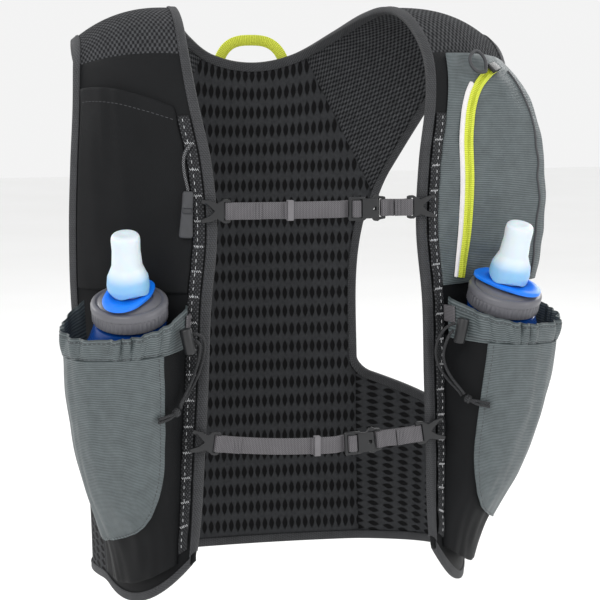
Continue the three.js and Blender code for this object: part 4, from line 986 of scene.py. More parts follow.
def pocket_face(run, share):
    start = row_at(FACE_EDGE, run)["share"]
    at = start + share * (FACE_END - start)
    spot = points(at * 0.16, run * 0.3, 0 * run)
    slack = 0.0009 * crumple(spot, 0.012, 7.0) + 0.001 * crumple(spot * (1, 0.3, 1), 0.009, 1.0)
    hem = 0.0006 * np.exp(-((share / 0.035) ** 2))
    return raised(bottle_pocket, POCKET_WALL + FACE_GAP + hem + slack)(run, at)


def band_line(rise, share):
    front = power(np.sin(math.pi * share), POCKET_ROUND)
    top = BAND_TOP - BAND_DIP * front
    return BAND_BOTTOM + rise * (top - BAND_BOTTOM), front


def pocket_band(rise, share):
    run, front = band_line(rise, share)
    phase = BAND_GATHERS * share + 0.32 * np.sin(TURN * 2.3 * share + 1) + 0.2 * np.sin(TURN * 5.1 * share)
    depth = RUFFLE_DEPTH * (0.3 + 0.9 * rise) * (1 + 0.35 * np.sin(TURN * 3.2 * share + 0.6))
    fold = depth * (0.9 + np.cos(TURN * phase) + 0.25 * np.cos(TURN * (2.3 * phase + 0.9 * rise)))
    return raised(bottle_pocket, POCKET_WALL + SEAM_GAP + np.maximum(fold, 0) * front)(run, share)


def band_wall(rise, share):
    """The channel is full in its middle and thin at its seams."""
    return BAND_WALL * (0.55 + 0.6 * np.sqrt(np.sin(math.pi * np.clip(rise, 0.02, 0.98))) + 0 * share)


# Ripstop nylon, grey: fine cross ribs 1.4 mm apart.
ripstop = woven(
    "ripstop_nylon",
    [(0, 720)],
    -1.0,
    1.0,
    "3d4547",
    "626a6c",
    0.00016,
    mottle=0.16,
    mottle_size=0.008,
    Roughness=0.5,
    Specular_IOR_Level=0.4,
)
FACE_ROWS = np.concatenate([np.linspace(0.07, 0.1, 26), np.linspace(0.104, BAND_BOTTOM, 70)])
for side, side_name in SIDES:
    pocket = cloth(
        f"stretch_pocket_{side_name}",
        soft_pocket,
        POCKET_WALL,
        np.linspace(POCKET_BOTTOM, BAND_BOTTOM, 80),
        np.linspace(0, 1, 90),
        side,
    )
    put(pocket, f"bottle_pocket_{side_name}", stretch_woven)
    face = cloth(f"ripstop_face_{side_name}", pocket_face, FACE_WALL, FACE_ROWS, np.linspace(0, 1, 90), side)
    put(face, f"pocket_face_{side_name}", ripstop)
    gathers = cloth(
        f"gathered_channel_{side_name}",
        pocket_band,
        band_wall,
        np.linspace(0, 1, 16),
        np.linspace(0.02, 0.98, 260),
        side,
    )
    put(gathers, f"pocket_band_{side_name}", ripstop)
    edge_path = raised(pocket_face, FACE_WALL)(FACE_ROWS, FACE_SEAM)
    edge_out = normal_of(pocket_face, FACE_ROWS, FACE_SEAM)
    seam(f"face_seam_{side_name}", edge_path, edge_out, dark_thread, side)
    seam_shares = np.linspace(0.03, 0.97, 300)
    for rise in (0.12, 0.86):
        ridge = raised(pocket_band, band_wall)(rise + 0 * seam_shares, seam_shares)
        out = normal_of(pocket_band, rise + 0 * seam_shares, seam_shares)
        seam(f"band_seam_{round(100 * rise)}_{side_name}", ridge, out, dark_thread, side)


# Flat pocket, on the wearer's right. One layer of the black stretch cloth is sewn down on three sides,
# with a turned hem along its slanting, slightly slack mouth.
CHEST_BOTTOM = 0.37
CHEST_TOP = 0.612
CHEST_SLANT = 0.035
CHEST_PUFF = 0.005
CHEST_SEAM = 0.93


def chest_pocket(rise, share):
    top = CHEST_TOP + CHEST_SLANT * np.sin(math.pi / 2 * share)
    run = CHEST_BOTTOM + rise * (top - CHEST_BOTTOM)
    puff = CHEST_PUFF * power(np.sin(math.pi * share), 0.8) * (0.35 + 0.65 * rise)
    spot = points(share * 0.12, rise * 0.05, 0 * rise)
    inside = np.sin(math.pi * np.clip(share, 0, 1))
    slack = 0.0012 * inside * crumple(spot, 0.018, 11.0)
    hem = 0.0007 * np.exp(-(((1 - rise) / 0.05) ** 2))
    return on_harness(run, on_pocket_width(run, share), ON_PANEL + puff + slack + hem)


flat_pocket = cloth(
    "stretch_flat_pocket", chest_pocket, POCKET_WALL, np.linspace(0, 1, 100), np.linspace(0, 1, 70), -1
)
put(flat_pocket, "chest_pocket", stretch_woven)
mouth = np.linspace(0.02, 0.98, 120)
mouth_path = raised(chest_pocket, POCKET_WALL)(CHEST_SEAM, mouth)
mouth_out = normal_of(chest_pocket, CHEST_SEAM + 0 * mouth, mouth)
seam("flat_pocket_seam", mouth_path, mouth_out, dark_thread, -1)


# Zipped pocket, on the wearer's left. Grey ripstop stands off the panel, deepest beside the arm, with a
# black piped seam at the corner of its gusset. A lime coil zipper curves up it, a pale piping beside it.
ZIP_BULGE = 0.034
ZIP_GAP = 0.0007
ZIP_TAPE_WIDTH = 0.0065
ZIP_PIPING_WIDTH = 0.0035
ZIP_WALL = 0.001
ZIP_DEPTH = columns(
    "run rise focus",
    (0.362, 0.72, 3.2),
    (0.4, 0.86, 2.4),
    (0.44, 0.95, 1.6),
    (0.51, 1.0, 1.0),
    (0.58, 0.88, 1.0),
    (0.63, 0.6, 1.0),
    (0.685, 0.08, 1.0),
)
ZIP_PROFILE = columns(
    "run rise", (0.0, 0.0), (0.18, 0.16), (0.42, 0.5), (0.68, 0.86), (0.86, 1.0), (0.95, 0.82), (1.0, 0.0)
)
# The zipper's place across the pocket, up the panel.
ZIP_LINE = columns(
    "run share",
    (0.372, 0.185),
    (0.42, 0.25),
    (0.46, 0.262),
    (0.54, 0.23),
    (0.58, 0.218),
    (0.611, 0.239),
    (0.638, 0.333),
    (0.656, 0.5),
    (0.666, 0.68),
)
GUSSET_SHARE = 0.8
GUSSET_RADIUS = 0.0009


def zip_pocket(run, share):
    row = row_at(ZIP_DEPTH, run)
    profile = np.maximum(0, row_at(ZIP_PROFILE, share)["rise"])
    stand = ZIP_BULGE * row["rise"] * profile ** row["focus"]
    return on_harness(run, on_pocket_width(run, share), ON_PANEL + stand)


def slack_zip_pocket(run, share):
    """The pocket with cross wrinkles, calm along the zipper."""
    spot = points(share * 0.05, run * 0.45, 0 * run)
    near = np.exp(-(((share - row_at(ZIP_LINE, np.clip(run, 0.372, 0.666))["share"]) / 0.1) ** 2))
    inside = np.clip(5 * share, 0, 1) * np.clip(5 * (1 - share), 0, 1) * (1 - 0.9 * near)
    slack = 0.0024 * inside * crumple(spot, 0.014, 5.0)
    return raised(zip_pocket, slack)(run, share)


def zip_strip(offset, width, lift=POCKET_WALL + ZIP_GAP):
    on_zip = raised(zip_pocket, lift)

    def strip(at, share):
        at, share = both(at, share)
        here, ahead = row_at(ZIP_LINE, at)["share"], row_at(ZIP_LINE, at + STEP)["share"]
        point = on_zip(at, here)
        along = on_zip(at + STEP, ahead) - point
        side = unit(np.cross(along, normal_of(zip_pocket, at, here)))
        return point + side * (offset + (share - 0.5) * width)[..., None]

    return strip


def zip_wall(at, share):
    """The coil stands up along the middle of the tape."""
    return ZIP_WALL + 0.0006 * np.exp(-(((share - 0.5) / 0.16) ** 2)) + 0 * at


def piping_wall(at, share):
    """The piping is round across."""
    return ZIP_WALL * (0.5 + 0.9 * np.sin(math.pi * np.clip(share, 0.05, 0.95))) + 0 * at


ZIP_ROWS = np.linspace(0.378, 0.663, 160)
zip_cloth = cloth(
    "ripstop_zip_pocket",
    slack_zip_pocket,
    POCKET_WALL,
    np.linspace(0.37, STRAP_START - 0.004, 130),
    np.concatenate([np.linspace(0, 0.84, 70), np.linspace(0.85, 1, 26)]),
)
put(zip_cloth, "zip_pocket", ripstop)
# Woven zipper tape, lime: ribs 1.4 mm apart.
lime_tape = woven(
    "lime_zipper_tape", [(0, 700)], -1.0, 1.0, "b4bd24", "dce44e", 0.0002, mottle=0.05, Roughness=0.6
)
pale_piping = moulded("pale_piping", "dcd8d8", 0.06, 0.00005, Roughness=0.5)
lime_coil = moulded("lime_coil", "a9b21c", 0.06, Roughness=0.45)
tape = zip_strip(0, ZIP_TAPE_WIDTH)
put(cloth("zipper_tape", tape, zip_wall, ZIP_ROWS, np.linspace(0, 1, 15)), "zip_tape", lime_tape)
coil_path = raised(tape, ZIP_WALL + 0.0006)(ZIP_ROWS, 0.5)
coil_at, coil_ahead, coil_out = spaced(coil_path, 0.0015, normal_of(tape, ZIP_ROWS, 0.5))
coil_side = np.cross(coil_out, coil_ahead) + 0.25 * coil_ahead
bars("zipper_coil", coil_at, coil_side, coil_out, (0.0024, 0.0008, 0.0006), lime_coil)
piping_at = -(ZIP_TAPE_WIDTH + ZIP_PIPING_WIDTH) / 2 - SEAM_GAP
piping = cloth(
    "zipper_piping",
    zip_strip(piping_at, ZIP_PIPING_WIDTH),
    piping_wall,
    ZIP_ROWS[: -len(ZIP_ROWS) // 10],
    np.linspace(0, 1, 10),
)
put(piping, "zip_piping", pale_piping)
GUSSET_ROWS = np.linspace(0.378, 0.66, 90)
gusset_path = raised(slack_zip_pocket, POCKET_WALL + 0.0002)(GUSSET_ROWS, GUSSET_SHARE)
dress(tube("gusset_piping", gusset_path, GUSSET_RADIUS, 8), dark_thread)


# Hard pieces. The strap hooks, the buckle halves, the zipper slider and the cord locks are moulded in
# black acetal and held by their straps, zipper or cords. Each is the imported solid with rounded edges.
def rounded(node, name, radius, material, body="vest", angle=30):
    """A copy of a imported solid, merged and with rounded edges."""
    piece = bpy.data.objects.new(name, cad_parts[node].data.copy())
    bpy.context.scene.collection.objects.link(piece)
    weld(piece)
    bevel = piece.modifiers.new("round", "BEVEL")
    bevel.width = radius
    bevel.segments = 3
    bevel.limit_method = "ANGLE"
    bevel.angle_limit = math.radians(angle)
    bpy.context.view_layer.objects.active = piece
    bpy.ops.object.modifier_apply(modifier="round")
    piece.data.shade_smooth()
    piece.data.set_sharp_from_angle(angle=math.radians(35))
    return put(piece, node, material, body)


acetal = moulded("black_acetal", "1b1c1e", 0.08, 0.00003, Roughness=0.38)
for strap_name in ("upper", "lower"):
    for part in ("hook_left", "hook_right", "buckle_frame", "buckle_catch"):
        rounded(f"{strap_name}_{part}", f"{strap_name}_moulded_{part}", 0.0005, acetal)
rounded("zip_slider", "slider_body", 0.0011, acetal)
for side_name in ("left", "right"):
    rounded(f"cord_lock_{side_name}", f"cord_lock_barrel_{side_name}", 0.0013, acetal)

# The slider's pull: a thick moulded D loop.
PULL_CORD = 0.0026
PULL_LOOP = columns(
    "run share",
    (0.667, 0.428),
    (0.676, 0.405),
    (0.68, 0.34),
    (0.673, 0.25),
    (0.662, 0.235),
    (0.652, 0.29),
    (0.65, 0.38),
    (0.658, 0.414),
)
PULL_LIFT = POCKET_WALL + ZIP_WALL + 0.003 + 0.0024
corners = raised(zip_pocket, PULL_LIFT)(PULL_LOOP["run"], PULL_LOOP["share"])
ring = smooth_path(np.concatenate([corners[-2:], corners, corners[:3]]), 8)[16:-16]
pull_rubber = moulded("grey_rubber", "3a3b3e", 0.08, 0.00004, Roughness=0.6)
put(tube("pull_ring", ring, PULL_CORD / 2, 14), "zip_pull", pull_rubber)


# Chest straps. Two 12.5 mm grey woven straps, each doubled back through its hard parts and sewn with
# zigzag stitches. A woven keeper holds each long end down.
WEB_WIDTH = 0.0125
WEB_WALL = 0.0013
HARD_WALL = 0.003
BAR_HALF = 0.0012
MIDDLE_BAR_HALF = 0.0018
BAR_SLOT = 0.0024
HOOK_LENGTH = 0.022
HOOK_OVERLAP = 0.012
BUCKLE_PLATE = 0.012
LATCH_WINDOW = 0.0026
KEEPER_LENGTH = 0.0045
LAYER = (WEB_WALL + SEAM_GAP) / 2
WRAP = HARD_WALL / 2 + SEAM_GAP + WEB_WALL / 2
FRAME_IN = MIDDLE_BAR_HALF + BAR_SLOT
CATCH_BAR = FRAME_IN + BUCKLE_PLATE - LATCH_WINDOW / 2 + 0.003 + BAR_SLOT + BAR_HALF
CATCH_DEPTH = HARD_WALL + SEAM_GAP
TACK_ROWS = (0.002, 0.0046)
TACK_SIZE = (0.0012, 0.0005, 0.0004)
CHEST_STRAPS = columns(
    "run sag fold keeper buckle short_fold",
    (0.48, 0.0006, -0.57, -0.29, 0.365, 0.74),
    (0.177, 0.007, -0.7, -0.02, 0.3, 0.7),
)
WEB_SECTION = np.array(
    [
        (-0.5, -0.46), (-0.5, 0.46), (-0.32, 0.49), (0, 0.5), (0.32, 0.49),
        (0.5, 0.46), (0.5, -0.46), (0.32, -0.49), (0, -0.5), (-0.32, -0.49),
    ]
)
# Woven polyester webbing, warm grey: a fine twill 1.1 mm apart.
webbing = woven(
    "grey_webbing",
    [(640, 640), (0, 900)],
    -1.5,
    1.7,
    "474548",
    "6f6d70",
    0.0002,
    mottle=0.08,
    Roughness=0.7,
    Specular_IOR_Level=0.3,
)


def wrap(x, y, half, side):
    """Points round a bar from the back of a strap to its front, bulging towards one side in X."""
    turns = np.linspace(math.pi / 10, 0.9 * math.pi, 9)
    bulge = x + side * (half + SEAM_GAP + WEB_WALL / 2) * np.sqrt(np.sin(turns))
    round_bar = zip(bulge, y + WRAP * power(np.cos(turns), 0.5))
    return [(x - side * half, y + WRAP), *round_bar, (x - side * half, y - WRAP)]


def web(name, route, spot, span, sag):
    """Webbing along a route of (across, depth), hung with a sag. Gives its piece and its stations."""
    route = np.array(route)
    flat = points(route[:, 0], route[:, 1], 0 * route[:, 0])
    far = lengths(flat)
    at = np.linspace(0, far[-1], int(far[-1] / 0.0006))
    x, y = (np.interp(at, far, route[:, k]) for k in (0, 1))
    for _ in range(2):
        x[1:-1] = (x[:-2] + 2 * x[1:-1] + x[2:]) / 4
        y[1:-1] = (y[:-2] + 2 * y[1:-1] + y[2:]) / 4
    path = points(x, y, -sag * (1 - (x / span) ** 2)) + spot
    slope = 2 * sag * x / span**2
    side = unit(points(-slope, 0 * x, 1 + 0 * x))
    ahead = unit(points(np.gradient(x), np.gradient(y), 0 * x))
    out = points(ahead[:, 1], -ahead[:, 0], 0 * x)
    section = closed(WEB_SECTION) * (WEB_WALL, WEB_WIDTH)
    rings = path[:, None] + section[:, :1] * out[:, None] + section[:, 1:] * side[:, None]
    return skin(name, rings, at, section[:, 1], 50)


for k, strap_name in enumerate(("upper", "lower")):
    row = {name: column[k] for name, column in CHEST_STRAPS.items()}
    end = harness(row["run"], 0)
    span, sag = end[0], row["sag"]
    hook_low, hook_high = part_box(f"{strap_name}_hook_left")
    spot = np.array((0, (hook_low.y + hook_high.y) / 2, end[2]))
    hook_bar = span - HOOK_LENGTH + BAR_HALF + HOOK_OVERLAP
    middle = row["buckle"] * span
    catch_bar = middle + CATCH_BAR
    near, down, under = 0.005, -(MIDDLE_BAR_HALF + BAR_SLOT / 2), WRAP + LAYER * 2
    long_web = [
        (row["fold"] * span, -LAYER),
        (-hook_bar + near, -LAYER),
        *wrap(-hook_bar, 0, BAR_HALF, -1)[::-1],
        (-hook_bar + near, LAYER),
        (middle - FRAME_IN - 0.009, LAYER),
        (middle - FRAME_IN - 0.003, under),
        (middle + down + 0.0006, under),
        *wrap(middle, 0, MIDDLE_BAR_HALF, 1),
        (middle + down + 0.00035, -WRAP + 0.00035),
        (middle + down + 0.00005, -HARD_WALL / 2 + 0.0003),
        (middle + down, HARD_WALL / 2),
        (middle + down - 0.00045, WRAP - 0.00025),
        (middle - FRAME_IN, WRAP),
        (middle - FRAME_IN - 0.003, WRAP),
        (middle - FRAME_IN - 0.009, -LAYER),
        (row["keeper"] * span - KEEPER_LENGTH, -LAYER),
    ]
    short_web = [
        (row["short_fold"] * span + SEAM_GAP, -LAYER),
        (hook_bar - near, -LAYER),
        *wrap(hook_bar, 0, BAR_HALF, 1)[::-1],
        (hook_bar - near, LAYER),
        (catch_bar + near, CATCH_DEPTH + LAYER),
        *wrap(catch_bar, CATCH_DEPTH, BAR_HALF, -1),
        (catch_bar + near, CATCH_DEPTH - LAYER),
        (row["short_fold"] * span - SEAM_GAP, -LAYER + CATCH_DEPTH * 0.3),
    ]
    for length_name, route, web_side in (("long", long_web, "right"), ("short", short_web, "left")):
        piece = web(f"{strap_name}_{length_name}_web", route, spot, span, sag)
        put(piece, f"{strap_name}_web_{web_side}", webbing)
    rounded(f"{strap_name}_keeper", f"{strap_name}_woven_keeper", 0.0003, webbing)
    # Two rows of stitches across the webbing where each end is doubled back.
    for length_name, fold, way in (("long", "fold", -1), ("short", "short_fold", 1)):
        x, z = np.meshgrid(row[fold] * span + way * np.array(TACK_ROWS), np.linspace(-1, 1, 7))
        x, z = x.ravel(), z.ravel()
        at = points(x, -LAYER - WEB_WALL / 2, 0.4 * WEB_WIDTH * z - sag * (1 - (x / span) ** 2)) + spot
        up, out = points(0 * x, 0 * x, 1 + 0 * x), points(0 * x, -1 + 0 * x, 0 * x)
        bars(f"{strap_name}_{length_name}_tacks", at, up, out, TACK_SIZE, dark_thread)

# The lock's webbing tab lies over the channel. Its place is in shares of the panel and of the pocket.
TAB_WALL = 0.0012
TAB_BOTTOM = 0.325
TAB_HEIGHT = 0.02
TAB_IN = 0.012
TAB_WIDTH = 0.04


def band_lift(run, share):
    """How far a tab over the gathered channel stands off its pocket."""
    ruffle = 2 * RUFFLE_DEPTH * power(np.sin(math.pi * share), POCKET_ROUND)
    return POCKET_WALL + BAND_WALL + ruffle + 3 * SEAM_GAP


def lock_tab(rise, share):
    run, across = TAB_BOTTOM + TAB_HEIGHT * rise, TAB_IN + TAB_WIDTH * share
    return raised(bottle_pocket, band_lift)(run, across)


TAB_ROWS = np.linspace(0, 1, 8)
for side, side_name in SIDES:
    tab = cloth(f"lock_webbing_{side_name}", lock_tab, TAB_WALL, TAB_ROWS, TAB_ROWS, side)
    put(tab, f"lock_tab_{side_name}", webbing)


# Grab loop. A lime woven loop arches over the neckline, its tails sewn to the outside of the back.
LOOP_WIDTH = 0.009
LOOP_WALL = 0.0025
LOOP_HALF_SPAN = 0.030
LOOP_RISE = 0.020
LOOP_TAIL = 0.014
LOOP_CLEAR = 0.00292
LOOP_OUT = BODY_WALL + LOOP_CLEAR + LOOP_WALL / 2


def loop_spot(turn):
    x = LOOP_HALF_SPAN * power(np.cos(turn), 0.7)
    neck = back(1.0, 0.5)[2]
    z = neck - LOOP_TAIL + (LOOP_TAIL + LOOP_RISE) * np.abs(np.sin(turn)) ** 0.9
    share = 0.5 - x / (2 * back_edge(1.0)[0])
    top, low = back(1.0 + 0 * x, share)[..., 2], back(0.9 + 0 * x, share)[..., 2]
    run = np.minimum(1, 1 + (z - top) / (top - low) / 10)
    return points(x, back(run, share)[..., 1] + LOOP_OUT, z)


loop_turns = np.linspace(0, math.pi, 90)
loop_path = loop_spot(loop_turns)
loop_ahead = unit((loop_spot(loop_turns + 0.02) - loop_spot(loop_turns - 0.02)) * (1, 0, 1))
loop_side = points(loop_ahead[:, 2], 0 * loop_turns, -loop_ahead[:, 0])
loop_section = closed(WEB_SECTION) * (LOOP_WALL, LOOP_WIDTH)
loop_rings = (
    loop_path[:, None] + loop_section[:, :1] * (0, 1, 0) + loop_section[:, 1:] * loop_side[:, None]
)
grab = skin("grab_webbing", loop_rings, lengths(loop_path), loop_section[:, 1], 50)
put(grab, "grab_loop", lime_tape)


# Whistle. A flat grey moulded body with a sound hole in its front hangs on the short cord.
GRIP_LENGTH = 0.034
GRIP_WIDTH = 0.0086
GRIP_WALL = 0.005
WHISTLE_LEAN = 0.06
WHISTLE = columns(
    "at width depth",
    (0.0, 0.8, 0.75),
    (0.06, 0.92, 0.95),
    (0.35, 0.94, 1.0),
    (0.94, 1.18, 0.92),
    (1.0, 1.1, 0.8),
)
levels = np.concatenate([[0, 0.01], np.linspace(0.03, 0.97, 60), [0.99, 1]])
turns = np.linspace(0, TURN, 49)
ease = np.clip(np.minimum(levels, 1 - levels) / 0.03, 0, 1) ** 0.5
widths = np.interp(levels, WHISTLE["at"], WHISTLE["width"]) * (0.82 + 0.18 * ease)
depths = np.interp(levels, WHISTLE["at"], WHISTLE["depth"]) * (0.7 + 0.3 * ease)
hole = np.exp(-(((levels[:, None] - 0.42) / 0.06) ** 8)) * np.clip(-np.sin(turns) * 3 - 1.4, 0, 1)
x = widths[:, None] * GRIP_WIDTH * power(np.cos(turns), 0.6) / 2
y = depths[:, None] * GRIP_WALL * power(np.sin(turns), 0.6) / 2 * (1 - 0.75 * hole)
z = -levels[:, None] * GRIP_LENGTH + 0 * x
top = whistle_path[-1] - (0, 0, SEAM_GAP + 0.0002)
lean_cos, lean_sin = math.cos(WHISTLE_LEAN), math.sin(WHISTLE_LEAN)
body = points(x * lean_cos + z * lean_sin, y, z * lean_cos - x * lean_sin) + top
whistle = skin("whistle_body", body, levels * GRIP_LENGTH, turns * GRIP_WIDTH / 2)
put(whistle, "whistle", pull_rubber)


# Soft flasks. Each is a deep blue film bag in its pocket, with a smoky screw cap, a bright blue shut-off
# lever and a milky silicone bite valve with a pale blue foot. The lever and the valve turn together.
FLASK_RUN = 0.357
FLASK_SEAT = 0.41
FLASK_STAND = 0.0325
FLASK_FORWARD = 0.33
FLASK_OUTWARD = 0.1
FILM_CLEAR = 0.003
FILM_FOOT = 0.078
FILM_MOUTH = 0.295
CAP_RADIUS = 0.028
CAP_HEIGHT = 0.016
CAP_CAVITY = 0.011
CAP_WALL = 0.0045
NECK_CLEAR = 0.0015
LEVER_RADIUS = 0.0165
LEVER_REACH = 0.027
LEVER_WALL = 0.0035
SPOUT_RADIUS = 0.0123
SPOUT_HEIGHT = 0.009
VALVE_RADIUS = 0.015
VALVE_HEIGHT = 0.045
TURN_GAP = 0.0004
LEVER_TURNS = {"left": -1.38, "right": -1.54}
CAP_BASE = -CAP_HEIGHT / 2
CROWN_TOP = CAP_HEIGHT / 2 + 0.0012
LEVER_BASE = CROWN_TOP + SEAM_GAP
VALVE_BASE = LEVER_BASE + LEVER_WALL + SEAM_GAP
SPOUT_TOP = VALVE_BASE + SPOUT_HEIGHT
NECK_RADIUS = CAP_RADIUS - CAP_WALL - NECK_CLEAR

flask_up = unit(np.array((FLASK_OUTWARD, -FLASK_FORWARD, 1.0)))
flask_seat = on_harness(FLASK_RUN, FLASK_SEAT, ON_PANEL + FLASK_STAND)
chord = harness_chord(FLASK_RUN, 1) - harness_chord(FLASK_RUN, 0)
flask_across = unit(chord - flask_up * np.dot(chord, flask_up))
flask_front = np.cross(flask_across, flask_up)


def on_flask(side, x, y, z):
    """Points from a flask's own axes: across it, to its back, and up it from the middle of its cap."""
    up, front = flask_up * (side, 1, 1), flask_front * (side, 1, 1)
    across = -np.cross(front, up)
    x, y, z = (np.asarray(v)[..., None] for v in np.broadcast_arrays(x, y, z))
    return flask_seat * (side, 1, 1) + x * across - y * front + z * up


def turned(name, side, profile, sides=96, change=None):
    """A round piece on the flask's axis through rows of (radius, height)."""
    radius, height = np.array(profile, float).T
    turns = np.linspace(0, TURN, sides + 1)
    radius, height = radius[:, None] + 0 * turns, height[:, None] + 0 * turns
    if change:
        radius, height = change(radius, height, turns)
    rings = on_flask(side, radius * np.cos(turns), radius * np.sin(turns), height)
    return skin(name, rings, height[:, 0], turns * CAP_RADIUS, 38)


def ribbed(radius, height, turns):
    """Grip ribs round the lower part of a cap's side."""
    side_wall = (radius > CAP_RADIUS - 0.0009) & (height < 0.0001) & (height > CAP_BASE + 0.0004)
    return radius - side_wall * 0.0007 * (0.5 + 0.5 * np.cos(48 * turns)), height


CAP_PROFILE = [
    (0, CAP_BASE + CAP_CAVITY),
    (CAP_RADIUS - CAP_WALL, CAP_BASE + CAP_CAVITY),
    (CAP_RADIUS - CAP_WALL, CAP_BASE),
    (CAP_RADIUS - 0.001, CAP_BASE),
    (CAP_RADIUS - 0.0004, CAP_BASE + 0.0005),
    (CAP_RADIUS - 0.0004, CAP_BASE + 0.002),
    (CAP_RADIUS - 0.0004, -0.001),
    (CAP_RADIUS - 0.0004, 0),
    (CAP_RADIUS - 0.001, 0.0004),
    (CAP_RADIUS - 0.001, 0.001),
    (CAP_RADIUS, 0.0014),
    (CAP_RADIUS, 0.0042),
    (CAP_RADIUS - 0.0006, 0.0056),
    (CAP_RADIUS - 0.0018, 0.0064),
    (CAP_RADIUS - 0.0034, 0.0066),
    (CAP_RADIUS - 0.0042, 0.0060),
    (CAP_RADIUS - 0.0050, 0.0060),
    (CAP_RADIUS - 0.0058, 0.0069),
    (CAP_RADIUS - 0.0105, 0.0082),
    (CAP_RADIUS - 0.0112, 0.0076),
    (SPOUT_RADIUS + 0.0015, 0.0082),
    (SPOUT_RADIUS, CROWN_TOP),
    (SPOUT_RADIUS, SPOUT_TOP - 0.0005),
    (SPOUT_RADIUS - 0.0005, SPOUT_TOP),
    (0, SPOUT_TOP),
]
VALVE_PROFILE = columns(
    "rise radius",
    (0.0, 1.0),
    (0.1, 1.03),
    (0.27, 0.98),
    (0.36, 0.86),
    (0.46, 0.74),
    (0.72, 0.68),
    (0.9, 0.7),
    (0.96, 0.68),
    (0.99, 0.6),
)
CHANNEL = 0.003
VALVE_TOP = VALVE_BASE + VALVE_HEIGHT
SPOUT_BORE = SPOUT_RADIUS + TURN_GAP
valve_rises = np.linspace(0, 0.99, 44)
valve_radii = np.interp(valve_rises, VALVE_PROFILE["rise"], VALVE_PROFILE["radius"]) * VALVE_RADIUS
valve_profile = [
    (0, VALVE_TOP - CHANNEL),
    (CHANNEL, VALVE_TOP - CHANNEL),
    (CHANNEL, SPOUT_TOP + SEAM_GAP),
    (SPOUT_BORE, SPOUT_TOP + SEAM_GAP),
    (SPOUT_BORE, VALVE_BASE),
    *zip(valve_radii, VALVE_BASE + valve_rises * VALVE_HEIGHT),
    (0.45 * VALVE_RADIUS, VALVE_TOP),
    (0.2 * VALVE_RADIUS, VALVE_TOP - 0.0004),
    (0, VALVE_TOP - 0.0008),
]


def scalloped(radius, height, turns):
    """The skirt's lower edge arches up four times round it."""
    low = np.clip(1 - (height - VALVE_BASE) / (0.3 * VALVE_HEIGHT), 0, 1) * (radius > SPOUT_BORE + 0.0002)
    return radius, height + low * 0.0024 * (0.5 - 0.5 * np.cos(4 * turns))


def film_ring(run, turns):
    """The film's section in the pocket: bowed in front, nearly flat against the panel."""
    inset = (FILM_CLEAR + 0.001) / harness_width(run)
    width = bottle_out(run) - pocket_in(run) - 2 * inset
    across = pocket_in(run) + inset + width * (0.5 - 0.5 * power(np.cos(turns), POCKET_SPREAD))
    bow = power(np.maximum(np.sin(turns), 0), POCKET_ROUND)
    depth = POCKET_BULGE * row_at(POCKET_DEPTH, run)["rise"] * bow
    stand = FILM_CLEAR + np.maximum(0, depth - 2.5 * FILM_CLEAR) - 0.0006 * (np.sin(turns) < -STEP)
    return on_harness(run + 0 * turns, across, ON_PANEL + stand)


FILM_SHINE = {"Transmission_Weight": 0.15, "Roughness": 0.22, "IOR": 1.5}
SMOKE_SHINE = {"Transmission_Weight": 0.2, "Roughness": 0.33, "IOR": 1.5}
film = moulded("blue_film", "0a3f8a", 0.04, 0.00002, **FILM_SHINE)
smoke = moulded("smoky_cap_plastic", "6a6a70", 0.04, 0.00002, **SMOKE_SHINE)
blue_plastic = moulded("bright_blue_plastic", "0a78ee", 0.04, 0.00002, Roughness=0.33)
# Milky silicone, tinted pale blue at the foot, which is its lowest 16 mm.
silicone, tree, principled = new_material(
    "milky_silicone", Roughness=0.34, Subsurface_Weight=0.35, Subsurface_Scale=0.004, Transmission_Weight=0.12
)
cloth_map = add_node(tree, "ShaderNodeUVMap", uv_map="cloth")
up_the_valve = add_node(tree, "ShaderNodeSeparateXYZ", {0: cloth_map})
foot = add_node(
    tree,
    "ShaderNodeMapRange",
    {"Value": up_the_valve.outputs["Y"], "From Min": VALVE_BASE + 0.008, "From Max": VALVE_BASE + 0.019},
    interpolation_type="SMOOTHSTEP",
)
tint = add_node(tree, "ShaderNodeMix", {0: foot, 6: linear("8fc4ec"), 7: linear("dfeaf1")}, data_type="RGBA")
tree.links.new(tint.outputs[2], principled.inputs["Base Color"])

FILM_TURNS = np.linspace(0, TURN, 81)
mouth_ring = film_ring(FILM_MOUTH, FILM_TURNS)


def neck_ring(radius, height):
    return on_flask(1, -radius * np.cos(FILM_TURNS), -radius * np.sin(FILM_TURNS), height)


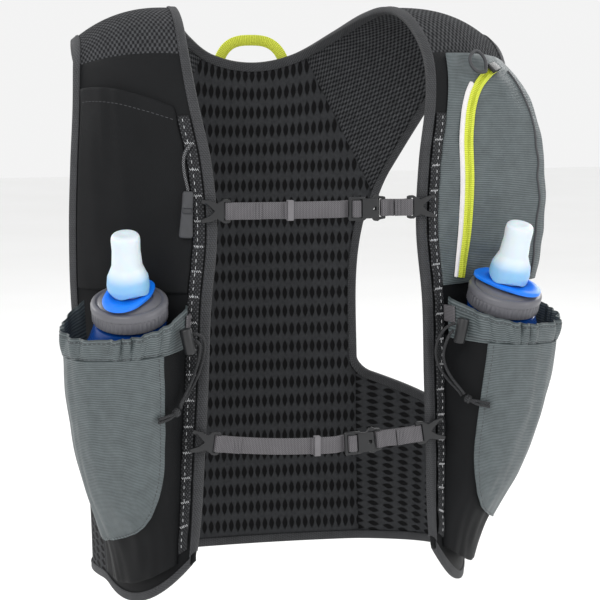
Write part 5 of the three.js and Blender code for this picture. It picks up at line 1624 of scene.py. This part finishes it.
shoulder_ring = neck_ring(NECK_RADIUS + 0.004, CAP_BASE - 0.003)
film_rings = np.array(
    [
        *[film_ring(run, FILM_TURNS) for run in np.linspace(FILM_FOOT, FILM_MOUTH, 40)],
        *[part_way(mouth_ring, shoulder_ring, s) for s in (0.25, 0.5, 0.7, 0.84, 0.93)],
        shoulder_ring,
        neck_ring(NECK_RADIUS + 0.001, CAP_BASE - 0.002),
        neck_ring(NECK_RADIUS, CAP_BASE - 0.001),
        neck_ring(NECK_RADIUS, CAP_BASE + CAP_CAVITY - SEAM_GAP),
    ]
)
lever_turns = np.linspace(0, TURN, 97)
lever_reach = LEVER_RADIUS + (LEVER_REACH - LEVER_RADIUS) * np.abs(np.cos(lever_turns)) ** 3
LEVER_EDGE = 0.0009
# The lever's section from its bore to its rim, as (rim or bore, how far in, height).
LEVER_SECTION = [
    (0, 0, LEVER_WALL),
    (1, 0.003, LEVER_WALL),
    (1, LEVER_EDGE, LEVER_WALL - 0.0003),
    (1, 0, LEVER_WALL - LEVER_EDGE),
    (1, 0, LEVER_EDGE),
    (1, LEVER_EDGE, 0),
    (0, 0, 0),
    (0, 0, LEVER_WALL),
]
for side, side_name in SIDES:
    rider = f"bite_valve_{side_name}"
    film_along = np.arange(len(film_rings)) * 0.004
    bag = skin(f"film_bag_{side_name}", film_rings * (side, 1, 1), film_along, FILM_TURNS * 0.03)
    put(bag, f"flask_{side_name}", film)
    cap = turned(f"screw_cap_{side_name}", side, CAP_PROFILE, 288, ribbed)
    put(cap, f"cap_{side_name}", smoke)
    valve = turned(f"silicone_valve_{side_name}", side, valve_profile, 96, scalloped)
    put(valve, f"valve_{side_name}", silicone, rider)
    lean = lever_turns + LEVER_TURNS[side_name]
    rings = []
    for rim, inward, height in LEVER_SECTION:
        radius = lever_reach - inward if rim else SPOUT_BORE + 0 * lever_turns
        tip = 0.0012 * rim * (height > 0) * np.abs(np.cos(lever_turns)) ** 4
        level = LEVER_BASE + height - tip
        rings.append(on_flask(side, radius * np.cos(lean), radius * np.sin(lean), level))
    along = np.arange(len(rings)) * 0.003
    lever = skin(f"shut_off_lever_{side_name}", np.array(rings), along, lever_turns * 0.02, 35, False)
    put(lever, f"lever_{side_name}", blue_plastic, rider)
